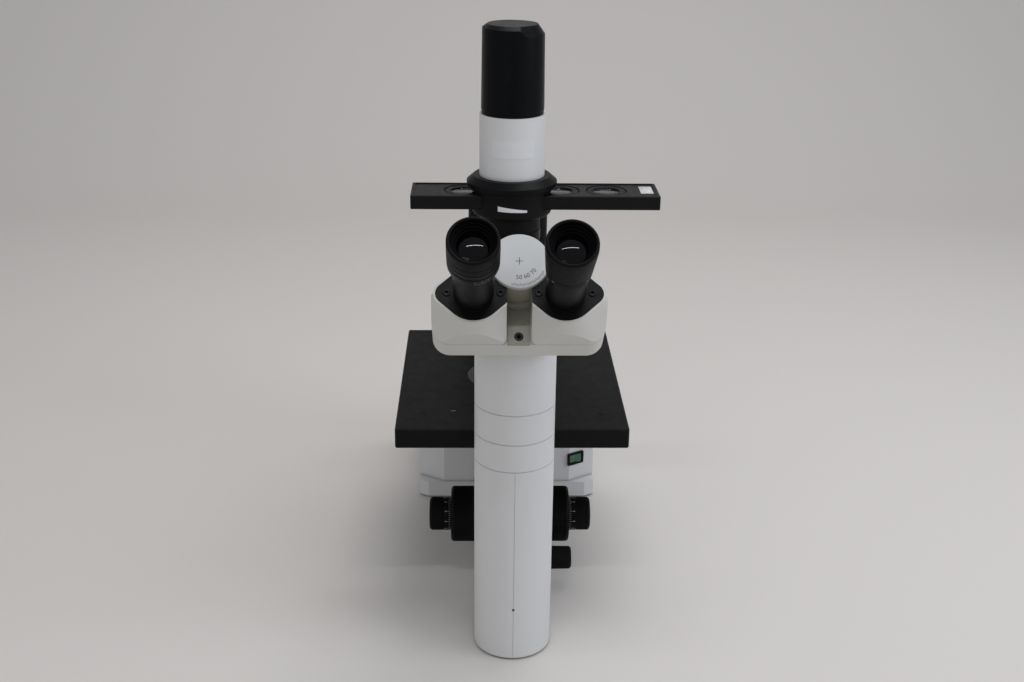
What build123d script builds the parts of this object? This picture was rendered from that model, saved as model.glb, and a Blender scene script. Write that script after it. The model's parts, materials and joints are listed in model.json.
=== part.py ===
from build123d import *

# Inverted laboratory microscope: a slim front column carries a binocular head, a
# low spine joins it to a wide rear body, the stage spans the two, and a rear
# column holds the lamp and condenser above the specimen.
# Millimetres. X is right, Y is away from the user, Z is up. The origin is on the
# bench, straight below the optical axis.

import os
from math import cos, hypot, pi, radians, sin, tan

os.makedirs("parts", exist_ok=True)

# Clearances
turning_gap = 0.05          # radial gap of a shaft that turns in its bore
sliding_gap = 0.10          # gap of a flat guide
seat_gap = 0.15             # gap of a piece that drops into its recess
sweep_gap = 0.40            # gap between faces that swing past each other

# Base and rear body
foot_height = 2.0
foot_radius = 9.0
foot_side_inset = 17.0
foot_front_inset = 12.0
foot_back_inset = 20.0
pan_rim_top = 19.0          # the seam between the base pan and the rear housing
pan_front_y = 76.0
pan_front_half = 85.0       # half of the pan's flat front, before its short corners
pan_corner_y = 82.0
pan_floor = 4.0
casting_wall = 3.0
rear_width = 190.0
rear_front_y = 79.0
rear_back_y = 225.0
rear_top = 118.0
swept_corner_run = 27.0     # how far each swept corner reaches across the front
swept_corner_angle = 31.5
rear_corner_radius = 12.0
rear_top_fillet = 5.0
back_panel_width = 130.0
back_panel_height = 76.0
back_panel_thickness = 2.0
back_panel_lip = 4.0
inlet_width = 48.0
inlet_height = 32.0
inlet_depth = 22.0
inlet_flange = 3.0
inlet_socket_width = 24.0
inlet_socket_height = 17.0
supply_size = (110.0, 80.0, 52.0)

# Power switch on the right swept corner
switch_from_corner = 7.6    # along the swept face, from where the corner starts
switch_z = 45.0
switch_width = 20.0
switch_height = 14.0
switch_bezel = 2.0
switch_depth = 14.0
rocker_throw = 20.0

# Spine, light path and front column
spine_half = 33.0
spine_top = 86.0
spine_fillet = 8.0
light_path_z = 33.0
light_path_radius = 12.0
mirror_size = 34.0
mirror_thickness = 3.0
column_radius = 34.0
column_y = -188.5
column_back_y = -150.0
column_corner = 9.0
column_shadow_gap = 2.0     # dark line between the column and the bench
cover_joint = 0.18          # the line where the two half covers meet
cover_hole_radius = 1.2
cover_hole_z = 51.4
seam_low = 184.6
badge_ring_height = 24.9
spacer_ring_height = 26.7
column_top_height = 55.8
seam_middle = seam_low + badge_ring_height
seam_high = seam_middle + spacer_ring_height
column_top_z = seam_high + column_top_height
ring_edge = 0.7
head_port_radius = 20.0

# Stage
stage_width = 212.0
stage_front_y = -126.0
stage_back_y = 122.0
stage_top = 179.3
stage_thickness = 19.6
stage_skin = 6.0
stage_block_width = 120.0
stage_edge = 1.2
insert_radius = 41.5
insert_ring_gap = 0.5
insert_ledge = 3.5
insert_thickness = 3.0
insert_hole_radius = 12.5
accessory_hole_x = 81.5
accessory_hole_y = -95.0
accessory_hole_radius = 2.1
pocket_half = 60.0
pocket_front_y = -68.0
pocket_back_y = 60.0

# Focus drive
focus_y = -65.0
focus_z = 59.0
coarse_radius = 26.85
coarse_reach = 57.0
fine_radius = 16.0
fine_reach = 78.0
fine_scale_width = 7.0
fine_shaft_radius = 3.0
coarse_shaft_radius = 4.5
knob_gap = 0.5
boss_radius = 13.0
gear_module = 1.0
pinion_teeth = 12
pinion_width = 10.0
tooth_thinning = 0.30       # how much each tooth is thinned for free running

# Guide pillar and nosepiece
pillar_half = 26.0
pillar_front_y = -108.0
pillar_back_y = -80.0
rail_half = 9.0
rail_depth = 6.0
rail_low_z = 88.5
carriage_half = 22.0
carriage_low_z = 94.5
carriage_high_z = 118.0
carriage_foot = 6.0         # height of the carriage's foot above the rack leg
carriage_step = 9.0         # how far the upright stands in front of the leg's back
leg_half = 7.0
leg_room = 1.5              # around the leg, where it passes through the spine's top
leg_low_z = 50.0
leg_back_y = -47.0
turret_tilt = 15.0
seat_radius = 24.0          # from the turret's axis to an objective's seat
seat_z = 134.0
turret_radius = 38.0
turret_thickness = 14.0
turret_boss_radius = 12.5
turret_crown_radius = 9.0
turret_bore = 9.0
turret_axle_radius = 5.0
cradle_thickness = 7.0
objective_count = 4
objective_lengths = (36.0, 38.5, 37.5, 30.0)
objective_tips = (6.0, 7.5, 7.0, 9.0)
objective_radius = 11.8
objective_bore = 4.0

# Light control knob
light_knob_y = -117.0
light_knob_z = 40.7
light_knob_radius = 10.9
light_knob_reach = 57.0
light_shaft_radius = 3.0

# Rear column and arm
mast_half = 42.0
mast_front_y = 140.0
mast_back_y = 188.0
mast_top = 336.0
mast_corner = 12.0
mast_wall = 4.0
arm_half = 28.0
arm_top = 371.0
arm_back_y = 184.0
arm_fillet = 9.0

# Slider housing, condenser and phase slider
housing_radius = 37.5
housing_low = 346.0
slider_left = -94.0
slider_right = 137.3
slider_depth = 48.2
slider_low = 354.6
slider_top = 367.8
slider_lip = 2.4
slider_channel = 0.8
slider_stops = 4
stop_spacing = 44.4
first_stop_x = -44.4
cell_radius = 19.3
cell_depth = 2.5
cell_hole_radius = 11.8
condenser_radius = 27.0
condenser_low = 290.0
condenser_ring_low = 322.0
condenser_ring_height = 9.0
condenser_ring_radius = 26.0
condenser_bore = 19.0
lever_length = 13.0
lever_radius = 1.8
lever_rest_angle = 235.0

# Lamp
flange_radius = 42.2
flange_low = 372.8
flange_rim = 377.3
flange_top = 382.5
flange_neck = 36.0
lamp_radius = 30.46
lamp_wall = 2.5
lamp_top = 440.1
cap_shadow = 3.5            # height of the dark recess under the cap
cap_neck_step = 3.1         # how far the neck under the cap stands back from the tube
cap_radius_low = 29.1
cap_radius_high = 28.4
cap_height = 76.8
cap_edge = 5.0
cap_wall = 2.5
spigot_depth = 5.0
socket_ledge = 3.0
socket_height = 30.0
bulb_holder_radius = 9.0
bulb_holder_height = 16.0
bulb_length = 34.0
collector_radius = 20.0
collector_z = 405.0

# Binocular head
head_pivot_z = column_top_z + 21.5
head_elevation = 45.0
head_back = 41.0            # distances along the viewing direction from the pivot point
head_joint = 61.5
head_front = 91.3
head_half = 66.0
head_low = -54.3
head_outer_corner = 14.0
head_inner_corner = 4.0
wing_inner = 9.5
wing_rim = 1.8
wing_flare = 27.0
wing_bay_width = 40.0
wing_bay_height = 34.0
hub_radius = 22.6
eyepiece_offset = 34.3
eyepiece_drop = 25.3
flange_lobe = 22.0
flange_ear = 8.5
flange_ear_offset = 20.0
flange_plate = 2.6
flange_recess = 2.0
tube_radius = 15.1
tube_bore = 11.65
barrel_radius = 11.6
dial_radius = 23.0
dial_thickness = 2.9
strip_thickness = 1.2

# Eyepieces, along the viewing direction
left_rim = 176.3
right_rim = 173.2
left_tube_end = 139.0
right_tube_end = 130.0
grip_radius = 19.1
diopter_low = 143.2
diopter_high = 156.0
sleeve_radius = 16.0
right_low_radius = 16.9
right_taper_low = 131.5
right_taper_high = 166.0
eyecup_wall = 2.4
eyecup_depth = 9.0
eye_lens_radius = 12.0


def save(piece, name):
    """Label a finished piece and write it to a file of its own."""
    piece.part.label = name
    export_step(piece.part, f"parts/{name}.step")


def turned(plane, *profile):
    """A solid turned about a plane's normal, from points of radius and height."""
    side = Plane(origin=plane.origin, x_dir=plane.x_dir, z_dir=-plane.y_dir)
    with BuildPart() as piece:
        with BuildSketch(side):
            Polygon(*profile, align=None)
        revolve(axis=Axis(plane.origin, plane.z_dir))
    return piece


def tube(plane, outer, inner, length):
    """A round tube, or a rod where inner is zero, standing on a plane."""
    with BuildPart() as piece:
        with BuildSketch(plane):
            Circle(outer)
            if inner > 0:
                Circle(inner, mode=Mode.SUBTRACT)
        extrude(amount=length)
    return piece


# Gearing of the focus drive: the rack stands on the leg behind the pinion

pitch_radius = gear_module * pinion_teeth / 2
tooth_pitch = pi * gear_module
tooth_tip = 0.9 * gear_module
tooth_root = 1.2 * gear_module
tooth_half = tooth_pitch / 4 - tooth_thinning / 2
pressure_slope = tan(radians(20))
rest_tooth_turn = 180.0 / pinion_teeth
leg_front_y = focus_y + pitch_radius + tooth_root
rack_face_y = leg_front_y - tooth_root - tooth_tip

# Base pan, feet and rear body

rear_front_half = rear_width / 2 - swept_corner_run
corner_y = rear_front_y + swept_corner_run * tan(radians(swept_corner_angle))


def rear_plan(front_half, front_y, side_y, inset):
    """An outline of the rear body in plan: cut front corners, round back corners."""
    shape = Polygon(
        (-rear_width / 2, rear_back_y),
        (-rear_width / 2, side_y),
        (-front_half, front_y),
        (front_half, front_y),
        (rear_width / 2, side_y),
        (rear_width / 2, rear_back_y),
        align=None,
        mode=Mode.PRIVATE,
    )
    back_corners = shape.vertices().group_by(Axis.Y)[-1]
    rounded = fillet(back_corners, rear_corner_radius)
    return offset(rounded, -inset, kind=Kind.INTERSECTION) if inset else rounded


def column_plan(inset):
    """The front column's outline in plan: a half round front, soft back corners."""
    shape = Sketch() + Pos(0, column_y) * Circle(column_radius - inset)
    corner_x = column_radius - column_corner
    corner_at = column_back_y - column_corner
    for side in (-1, 1):
        shape += Pos(side * corner_x, corner_at) * Circle(column_corner - inset)
    return make_hull(shape.edges())


front_plan_outer = column_plan(0)
front_plan_inner = column_plan(casting_wall)
front_plan_core = column_plan(casting_wall + seat_gap)
front_plan_bore = column_plan(2 * casting_wall)
rear_plan_outer = rear_plan(rear_front_half, rear_front_y, corner_y, 0)
rear_plan_inner = rear_plan(rear_front_half, rear_front_y, corner_y, casting_wall)
pan_plan_outer = rear_plan(pan_front_half, pan_front_y, pan_corner_y, 0)

spine_inner = spine_half - casting_wall - seat_gap
pan_top = foot_height + pan_floor

with BuildPart() as base_pan:
    with BuildSketch(Plane.XY.offset(foot_height)):
        add(pan_plan_outer)
    extrude(amount=pan_rim_top - foot_height)
    with BuildSketch(Plane.XY.offset(pan_top)):
        add(rear_plan_inner)
    extrude(amount=pan_rim_top - pan_top, mode=Mode.SUBTRACT)
    with BuildSketch(Plane.XY.offset(foot_height)):
        with Locations((0, (column_back_y + rear_front_y) / 2)):
            Rectangle(2 * (spine_half + seat_gap), rear_front_y - column_back_y)
    extrude(amount=pan_rim_top - foot_height, mode=Mode.SUBTRACT)
    with BuildSketch(Plane.XY.offset(foot_height)):
        with Locations((0, (column_back_y + rear_front_y) / 2)):
            Rectangle(2 * spine_inner, rear_front_y - column_back_y + 4 * casting_wall)
        add(front_plan_core)
    extrude(amount=pan_floor)
save(base_pan, "base_pan")

front_foot_x = 14.0
front_foot_y = column_y - 8.0
rear_foot_x = rear_width / 2 - foot_side_inset
rear_foot_front_y = corner_y + foot_front_inset
rear_foot_back_y = rear_back_y - foot_back_inset
with BuildPart() as rubber_feet:
    with BuildSketch():
        with Locations(
            (-front_foot_x, front_foot_y),
            (front_foot_x, front_foot_y),
            (-rear_foot_x, rear_foot_front_y),
            (rear_foot_x, rear_foot_front_y),
            (-rear_foot_x, rear_foot_back_y),
            (rear_foot_x, rear_foot_back_y),
        ):
            Circle(foot_radius)
    extrude(amount=foot_height)
save(rubber_feet, "rubber_feet")

switch_run = radians(swept_corner_angle)
switch_origin = (
    rear_front_half + switch_from_corner * cos(switch_run),
    rear_front_y + switch_from_corner * sin(switch_run),
    switch_z,
)
switch_normal = (sin(switch_run), -cos(switch_run), 0)
switch_across = (cos(switch_run), sin(switch_run), 0)
switch_plane = Plane(origin=switch_origin, x_dir=switch_across, z_dir=switch_normal)
switch_hole_width = switch_width - 2 * switch_bezel + 1.0
switch_hole_height = switch_height - 2 * switch_bezel + 1.0

panel_z = (pan_rim_top + rear_top) / 2 - 4.0
panel_plane = Plane(origin=(0, rear_back_y, panel_z), x_dir=(-1, 0, 0), z_dir=(0, 1, 0))

with BuildPart() as rear_housing:
    with BuildSketch(Plane.XY.offset(pan_rim_top)):
        add(rear_plan_outer)
    extrude(amount=rear_top - pan_rim_top)
    fillet(rear_housing.faces().sort_by(Axis.Z)[-1].edges(), rear_top_fillet)
    with BuildSketch(Plane.XY.offset(pan_rim_top)):
        add(rear_plan_inner)
    extrude(amount=rear_top - casting_wall - pan_rim_top, mode=Mode.SUBTRACT)
    with BuildSketch(switch_plane):
        Rectangle(switch_hole_width, switch_hole_height)
    extrude(amount=-2 * casting_wall, mode=Mode.SUBTRACT)
    with BuildSketch(panel_plane):
        RectangleRounded(back_panel_width, back_panel_height, 4)
    extrude(amount=-back_panel_thickness, mode=Mode.SUBTRACT)
    with BuildSketch(panel_plane):
        Rectangle(
            back_panel_width - 2 * back_panel_lip, back_panel_height - 2 * back_panel_lip
        )
    extrude(amount=-2 * casting_wall, mode=Mode.SUBTRACT)
    with BuildSketch(Plane.XZ.offset(-rear_front_y)):
        with Locations((0, light_path_z)):
            Circle(light_path_radius)
    extrude(amount=-2 * casting_wall, mode=Mode.SUBTRACT)
save(rear_housing, "rear_housing")

inlet_x = 30.0
inlet_spot = (inlet_x, -10.0)
vent_spot = (-26.0, -4.0)
vent_slots = 8
vent_pitch = 6.0
vent_length = 40.0
vent_width = 2.6
with BuildPart() as rear_panel:
    with BuildSketch(panel_plane.offset(-back_panel_thickness)):
        RectangleRounded(
            back_panel_width - 2 * seat_gap, back_panel_height - 2 * seat_gap, 4 - seat_gap
        )
        with Locations(inlet_spot):
            Rectangle(
                inlet_width - 2 * inlet_flange, inlet_height - 2 * inlet_flange, mode=Mode.SUBTRACT
            )
        with Locations(vent_spot):
            with GridLocations(0, vent_pitch, 1, vent_slots):
                SlotOverall(vent_length, vent_width, mode=Mode.SUBTRACT)
    extrude(amount=back_panel_thickness)
save(rear_panel, "rear_panel")

with BuildPart() as power_inlet:
    with BuildSketch(panel_plane):
        with Locations(inlet_spot):
            RectangleRounded(inlet_width, inlet_height, 3)
    extrude(amount=inlet_flange)
    with BuildSketch(panel_plane):
        with Locations(inlet_spot):
            Rectangle(
                inlet_width - 2 * inlet_flange - 2 * seat_gap,
                inlet_height - 2 * inlet_flange - 2 * seat_gap,
            )
    extrude(amount=-inlet_depth)
    with BuildSketch(panel_plane.offset(inlet_flange)):
        with Locations(inlet_spot):
            RectangleRounded(inlet_socket_width, inlet_socket_height, 3)
    extrude(amount=-(inlet_depth - casting_wall), mode=Mode.SUBTRACT)
    with BuildSketch(panel_plane.offset(inlet_flange - inlet_depth + casting_wall)):
        with Locations(inlet_spot):
            with Locations((-7, -2), (0, 2), (7, -2)):
                Rectangle(2, 4)
    extrude(amount=12)
save(power_inlet, "power_inlet")

supply_y = rear_back_y - back_panel_thickness - inlet_depth - 14.0 - supply_size[1] / 2
with BuildPart() as power_supply:
    with BuildSketch(Plane.XY.offset(pan_top)):
        with Locations((0, supply_y)):
            Rectangle(supply_size[0], supply_size[1])
    extrude(amount=supply_size[2])
    chamfer(power_supply.edges().filter_by(Axis.Z), 3)
save(power_supply, "power_supply")

bezel_inner_width = switch_width - 2 * switch_bezel
bezel_inner_height = switch_height - 2 * switch_bezel
with BuildPart() as switch_frame:
    with BuildSketch(switch_plane):
        RectangleRounded(switch_width, switch_height, 1.2)
        Rectangle(bezel_inner_width, bezel_inner_height, mode=Mode.SUBTRACT)
    extrude(amount=switch_bezel)
    with BuildSketch(switch_plane):
        Rectangle(switch_hole_width - 0.1, switch_hole_height - 0.1)
        Rectangle(bezel_inner_width, bezel_inner_height, mode=Mode.SUBTRACT)
    extrude(amount=-switch_depth)
    with BuildSketch(switch_plane.offset(-switch_depth)):
        Rectangle(switch_hole_width - 0.1, switch_hole_height - 0.1)
    extrude(amount=-1.5)
save(switch_frame, "switch_frame")

# The rocker turns about an upright pin behind the bezel, and rests with its
# left half pressed in. Its pressed face meets a shallow vee.
rocker_half = bezel_inner_width / 2 - 1.0
rocker_pin_depth = 3.0
rocker_hub_radius = 2.4
rocker_lean = rocker_throw / 2
rocker_plane = Plane(
    origin=switch_plane.from_local_coords(Vector(0, -(bezel_inner_height / 2 - 0.3), -rocker_pin_depth)),
    x_dir=switch_across,
    z_dir=(0, 0, 1),
)
with BuildPart() as power_rocker:
    with BuildSketch(rocker_plane):
        Polygon(
            (-rocker_half, -rocker_pin_depth - 1.6),
            (0, -rocker_pin_depth - 0.6),
            (rocker_half, -rocker_pin_depth - 1.6),
            (rocker_half * 0.4, 1.0),
            (-rocker_half * 0.4, 1.0),
            align=None,
        )
        Circle(rocker_hub_radius)
    extrude(amount=bezel_inner_height - 0.6)
rocker_axis = Axis(rocker_plane.origin, (0, 0, 1))
power_rocker.part = power_rocker.part.rotate(rocker_axis, -rocker_lean)
save(power_rocker, "power_rocker")

# Spine with the light path inside

with BuildPart() as spine_housing:
    with BuildSketch(Plane.XY.offset(foot_height)):
        with Locations((0, (column_back_y + rear_front_y) / 2)):
            Rectangle(2 * spine_half, rear_front_y - column_back_y)
    extrude(amount=spine_top - foot_height)
    fillet(spine_housing.faces().sort_by(Axis.Z)[-1].edges().filter_by(Axis.Y), spine_fillet)
    with BuildSketch(Plane.XY.offset(foot_height)):
        with Locations((0, (column_back_y + rear_front_y) / 2)):
            Rectangle(2 * (spine_half - casting_wall), rear_front_y - column_back_y)
    extrude(amount=spine_top - casting_wall - foot_height, mode=Mode.SUBTRACT)
    with BuildSketch(Plane.YZ.offset(-spine_half)):
        with Locations((focus_y, focus_z)):
            Circle(boss_radius)
    extrude(amount=2 * casting_wall)
    with BuildSketch(Plane.YZ.offset(spine_half)):
        with Locations((focus_y, focus_z)):
            Circle(boss_radius)
    extrude(amount=-2 * casting_wall)
    with BuildSketch(Plane.YZ.offset(-spine_half)):
        with Locations((focus_y, focus_z)):
            Circle(coarse_shaft_radius + turning_gap)
    extrude(amount=2 * spine_half, mode=Mode.SUBTRACT)
    with BuildSketch(Plane.YZ.offset(spine_half)):
        with Locations((light_knob_y, light_knob_z)):
            Circle(light_shaft_radius + turning_gap + 1.5)
    extrude(amount=-2 * casting_wall, mode=Mode.SUBTRACT)
    with BuildSketch(Plane.XY.offset(spine_top)):
        Circle(light_path_radius + 4)
    extrude(amount=-2 * casting_wall, mode=Mode.SUBTRACT)
    with BuildSketch(Plane.XY.offset(spine_top)):
        with Locations((0, (rack_face_y + leg_back_y) / 2)):
            Rectangle(2 * (leg_half + leg_room), leg_back_y - rack_face_y + 2 * leg_room)
    extrude(amount=-2 * casting_wall, mode=Mode.SUBTRACT)
save(spine_housing, "spine_housing")

mirror_half = mirror_size / 2


def mirror_solid(centre_y, turn):
    """A square mirror on edge at 45 degrees, centred on the light path."""
    lean = Plane(origin=(0, centre_y, light_path_z), x_dir=(1, 0, 0), z_dir=(0, turn, 1))
    with BuildPart() as mirror_piece:
        with BuildSketch(lean.offset(-mirror_thickness)):
            Rectangle(mirror_size, mirror_size)
        extrude(amount=mirror_thickness)
        # The wedge block under the glass stands on the base pan.
        with BuildSketch(Plane.YZ.offset(-mirror_half)):
            drop = light_path_z - pan_top
            back = mirror_thickness * 2**0.5
            Polygon(
                (centre_y + turn * drop, pan_top),
                (centre_y - turn * 10.0, light_path_z - back + 10.0),
                (centre_y - turn * 10.0, pan_top),
                align=None,
            )
        extrude(amount=mirror_size)
    return mirror_piece


rear_mirror = mirror_solid(0, -1)
front_mirror = mirror_solid(column_y, 1)
with BuildPart() as fold_mirrors:
    add(rear_mirror.part)
    add(front_mirror.part)
save(fold_mirrors, "fold_mirrors")

# Front column


def column_half(side):
    """One of the two half covers of the column's lower part."""
    with BuildPart() as half:
        with BuildSketch(Plane.XY.offset(column_shadow_gap)):
            add(front_plan_outer)
            add(front_plan_inner, mode=Mode.SUBTRACT)
        extrude(amount=seam_low - column_shadow_gap)
        top_edge = half.faces().sort_by(Axis.Z)[-1].outer_wire().edges()
        chamfer(top_edge, ring_edge)
        with BuildSketch(Plane.XY):
            with Locations((-side * (column_radius - cover_joint / 2), column_y)):
                Rectangle(2 * column_radius, 4 * column_radius)
        extrude(amount=seam_low + 1, mode=Mode.SUBTRACT)
        with BuildSketch(Plane.XZ.offset(-column_y)):
            with Locations((0, cover_hole_z)):
                Circle(cover_hole_radius)
        extrude(amount=2 * column_radius, mode=Mode.SUBTRACT)
        with BuildSketch(Plane.XZ.offset(-column_y)):
            with Locations((0, light_path_z)):
                Circle(light_path_radius + 2)
        extrude(amount=-2 * column_radius, mode=Mode.SUBTRACT)
        with BuildSketch(Plane.XY):
            with Locations((0, column_back_y)):
                Rectangle(2 * (spine_inner + seat_gap), 4 * casting_wall)
        extrude(amount=pan_top + seat_gap, mode=Mode.SUBTRACT)
    return half


column_cover_left = column_half(-1)
save(column_cover_left, "column_cover_left")
column_cover_right = column_half(1)
save(column_cover_right, "column_cover_right")


def column_ring(low, high):
    """A ring of the column, with fine chamfers that make the seams read."""
    with BuildPart() as ring:
        with BuildSketch(Plane.XY.offset(low)):
            add(front_plan_outer)
            add(front_plan_inner, mode=Mode.SUBTRACT)
        extrude(amount=high - low)
        faces = ring.faces().sort_by(Axis.Z)
        chamfer(faces[0].outer_wire().edges() + faces[-1].outer_wire().edges(), ring_edge)
    return ring


column_badge_ring = column_ring(seam_low, seam_middle)
save(column_badge_ring, "column_badge_ring")
column_spacer_ring = column_ring(seam_middle, seam_high)
save(column_spacer_ring, "column_spacer_ring")

core_top = column_top_z - casting_wall
with BuildPart() as column_core:
    with BuildSketch(Plane.XY.offset(pan_top)):
        add(front_plan_core)
        add(front_plan_bore, mode=Mode.SUBTRACT)
    extrude(amount=core_top - pan_top)
    with BuildSketch(Plane.XZ.offset(-column_y)):
        with Locations((0, light_path_z)):
            Circle(light_path_radius + 2)
    extrude(amount=-2 * column_radius, mode=Mode.SUBTRACT)
save(column_core, "column_core")

with BuildPart() as column_top:
    with BuildSketch(Plane.XY.offset(seam_high)):
        add(front_plan_outer)
    extrude(amount=column_top_z - seam_high)
    chamfer(column_top.faces().sort_by(Axis.Z)[0].outer_wire().edges(), ring_edge)
    with BuildSketch(Plane.XY.offset(seam_high)):
        add(front_plan_inner)
    extrude(amount=core_top - seam_high, mode=Mode.SUBTRACT)
    with BuildSketch(Plane.XY.offset(core_top)):
        with Locations((0, column_y)):
            Circle(head_port_radius)
    extrude(amount=2 * casting_wall, mode=Mode.SUBTRACT)
save(column_top, "column_top")

lens_z = 150.0
lens_cell_height = 12.0
lens_plane = Plane(origin=(0, column_y, lens_z))
cell_reach = column_radius - 2 * casting_wall - 0.3
tube_lens = turned(
    lens_plane,
    (0, 2),
    (light_path_radius + 2, 3.5),
    (light_path_radius + 2, 0),
    (cell_reach, 0),
    (cell_reach, lens_cell_height),
    (light_path_radius + 2, lens_cell_height),
    (light_path_radius + 2, lens_cell_height - 3.5),
    (0, lens_cell_height - 2),
)
save(tube_lens, "tube_lens")

# Stage, its insert and the block that carries its back

stage_low = stage_top - stage_thickness
stage_skin_low = stage_top - stage_skin
insert_seat_z = stage_top - insert_thickness
stage_mid_y = (stage_front_y + stage_back_y) / 2
with BuildPart() as stage_plate:
    with BuildSketch(Plane.XY.offset(stage_low)):
        with Locations((0, stage_mid_y)):
            Rectangle(stage_width, stage_back_y - stage_front_y)
    extrude(amount=stage_thickness)
    chamfer(stage_plate.edges(), stage_edge)
    with BuildSketch(Plane.XY.offset(stage_low)):
        with Locations((0, (pocket_front_y + pocket_back_y) / 2)):
            RectangleRounded(2 * pocket_half, pocket_back_y - pocket_front_y, 10)
    extrude(amount=stage_skin_low - stage_low, mode=Mode.SUBTRACT)
    with BuildSketch(Plane.XY.offset(insert_seat_z)):
        Circle(insert_radius + insert_ring_gap)
    extrude(amount=stage_thickness, mode=Mode.SUBTRACT)
    with BuildSketch(Plane.XY.offset(stage_low)):
        Circle(insert_radius - insert_ledge)
    extrude(amount=stage_thickness, mode=Mode.SUBTRACT)
    with Locations(Plane.XY.offset(stage_top)):
        with Locations((-accessory_hole_x, accessory_hole_y), (accessory_hole_x, accessory_hole_y)):
            Hole(accessory_hole_radius, stage_thickness)
save(stage_plate, "stage_plate")

stage_insert = tube(
    Plane.XY.offset(insert_seat_z), insert_radius, insert_hole_radius, insert_thickness - 0.2
)
save(stage_insert, "stage_insert")

block_front_y = rear_front_y + rear_top_fillet + 2.0
with BuildPart() as stage_rear_block:
    with BuildSketch(Plane.XY.offset(rear_top)):
        with Locations((0, (block_front_y + stage_back_y - 3.0) / 2)):
            RectangleRounded(stage_block_width, stage_back_y - 3.0 - block_front_y, 5)
    extrude(amount=stage_low - rear_top)
save(stage_rear_block, "stage_rear_block")

# Guide pillar in front of the nosepiece

with BuildPart() as focus_pillar:
    with BuildSketch(Plane.XY.offset(spine_top)):
        with Locations((0, (pillar_front_y + pillar_back_y) / 2)):
            Rectangle(2 * pillar_half, pillar_back_y - pillar_front_y)
    extrude(amount=stage_low - spine_top)
    fillet(focus_pillar.edges().filter_by(Axis.Z).group_by(Axis.Y)[0], 6)
    with BuildSketch(Plane.XY.offset(rail_low_z)):
        with Locations((0, pillar_back_y + rail_depth / 2)):
            Rectangle(2 * rail_half, rail_depth)
    extrude(amount=stage_low - 4.0 - rail_low_z)
save(focus_pillar, "focus_pillar")

# Focus drive: a hollow coarse shaft with its pinion, and a fine shaft inside it


def focus_plane(x):
    """A plane across the focus axis, at a distance from the middle."""
    return Plane(origin=(x, focus_y, focus_z), x_dir=(0, 1, 0), z_dir=(1, 0, 0))


with BuildPart() as coarse_shaft:
    with BuildSketch(focus_plane(-coarse_reach + knob_gap)):
        Circle(coarse_shaft_radius)
    extrude(amount=2 * (coarse_reach - knob_gap))
    with BuildSketch(focus_plane(-pinion_width / 2)):
        Circle(pitch_radius - tooth_root)
        with PolarLocations(0, pinion_teeth, start_angle=rest_tooth_turn):
            Polygon(
                (pitch_radius - tooth_root - 0.5, -tooth_half - tooth_root * pressure_slope * 0.6),
                (pitch_radius, -tooth_half),
                (pitch_radius + tooth_tip, -tooth_half + tooth_tip * pressure_slope * 1.5),
                (pitch_radius + tooth_tip, tooth_half - tooth_tip * pressure_slope * 1.5),
                (pitch_radius, tooth_half),
                (pitch_radius - tooth_root - 0.5, tooth_half + tooth_root * pressure_slope * 0.6),
                align=None,
            )
    extrude(amount=pinion_width)
    with BuildSketch(focus_plane(-coarse_reach)):
        Circle(fine_shaft_radius + turning_gap)
    extrude(amount=2 * coarse_reach, mode=Mode.SUBTRACT)
save(coarse_shaft, "coarse_shaft")


def coarse_knob(side):
    """A coarse knob: one wide plain grip with a shallow face."""
    inner = spine_half + knob_gap
    facing = Plane(origin=(0, focus_y, focus_z), x_dir=(0, 0, 1), z_dir=(side, 0, 0))
    bore = coarse_shaft_radius
    return turned(
        facing,
        (bore, inner),
        (coarse_radius - 1.0, inner),
        (coarse_radius, inner + 1.0),
        (coarse_radius, coarse_reach - 2.5),
        (coarse_radius - 0.8, coarse_reach - 0.8),
        (coarse_radius - 2.5, coarse_reach),
        (fine_radius + 2.5, coarse_reach),
        (fine_radius + 2.0, coarse_reach - 1.0),
        (bore, coarse_reach - 1.0),
    )


coarse_knob_left = coarse_knob(-1)
save(coarse_knob_left, "coarse_knob_left")
coarse_knob_right = coarse_knob(1)
save(coarse_knob_right, "coarse_knob_right")

fine_shaft = tube(focus_plane(-fine_reach + 3.0), fine_shaft_radius, 0, 2 * (fine_reach - 3.0))
save(fine_shaft, "fine_shaft")


def fine_knob(side):
    """A fine knob: one plain cylinder, its scale ring next to the coarse knob."""
    inner = coarse_reach + knob_gap
    facing = Plane(origin=(0, focus_y, focus_z), x_dir=(0, 0, 1), z_dir=(side, 0, 0))
    return turned(
        facing,
        (fine_shaft_radius, inner),
        (fine_radius, inner),
        (fine_radius, inner + fine_scale_width),
        (fine_radius - 0.4, inner + fine_scale_width + 0.3),
        (fine_radius, inner + fine_scale_width + 0.6),
        (fine_radius, fine_reach - 2.2),
        (fine_radius - 0.7, fine_reach - 0.7),
        (fine_radius - 2.2, fine_reach),
        (0, fine_reach),
        (0, fine_reach - 3.0),
        (fine_shaft_radius, fine_reach - 3.0),
    )


fine_knob_left = fine_knob(-1)
save(fine_knob_left, "fine_knob_left")
fine_knob_right = fine_knob(1)
save(fine_knob_right, "fine_knob_right")

# Nosepiece carriage: a slide on the rail, a rack leg and a tilted cradle

tilt = radians(turret_tilt)
apex_length = seat_radius / sin(tilt)
apex_z = seat_z - apex_length
turret_axis_dir = Vector(0, -sin(tilt), cos(tilt))
apex = Vector(0, 0, apex_z)
seat_level = apex_length * cos(tilt)


def turret_plane(height):
    """A plane across the turret's axis, at a height above the apex."""
    return Plane(origin=apex + turret_axis_dir * height, x_dir=(1, 0, 0), z_dir=turret_axis_dir)


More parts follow.
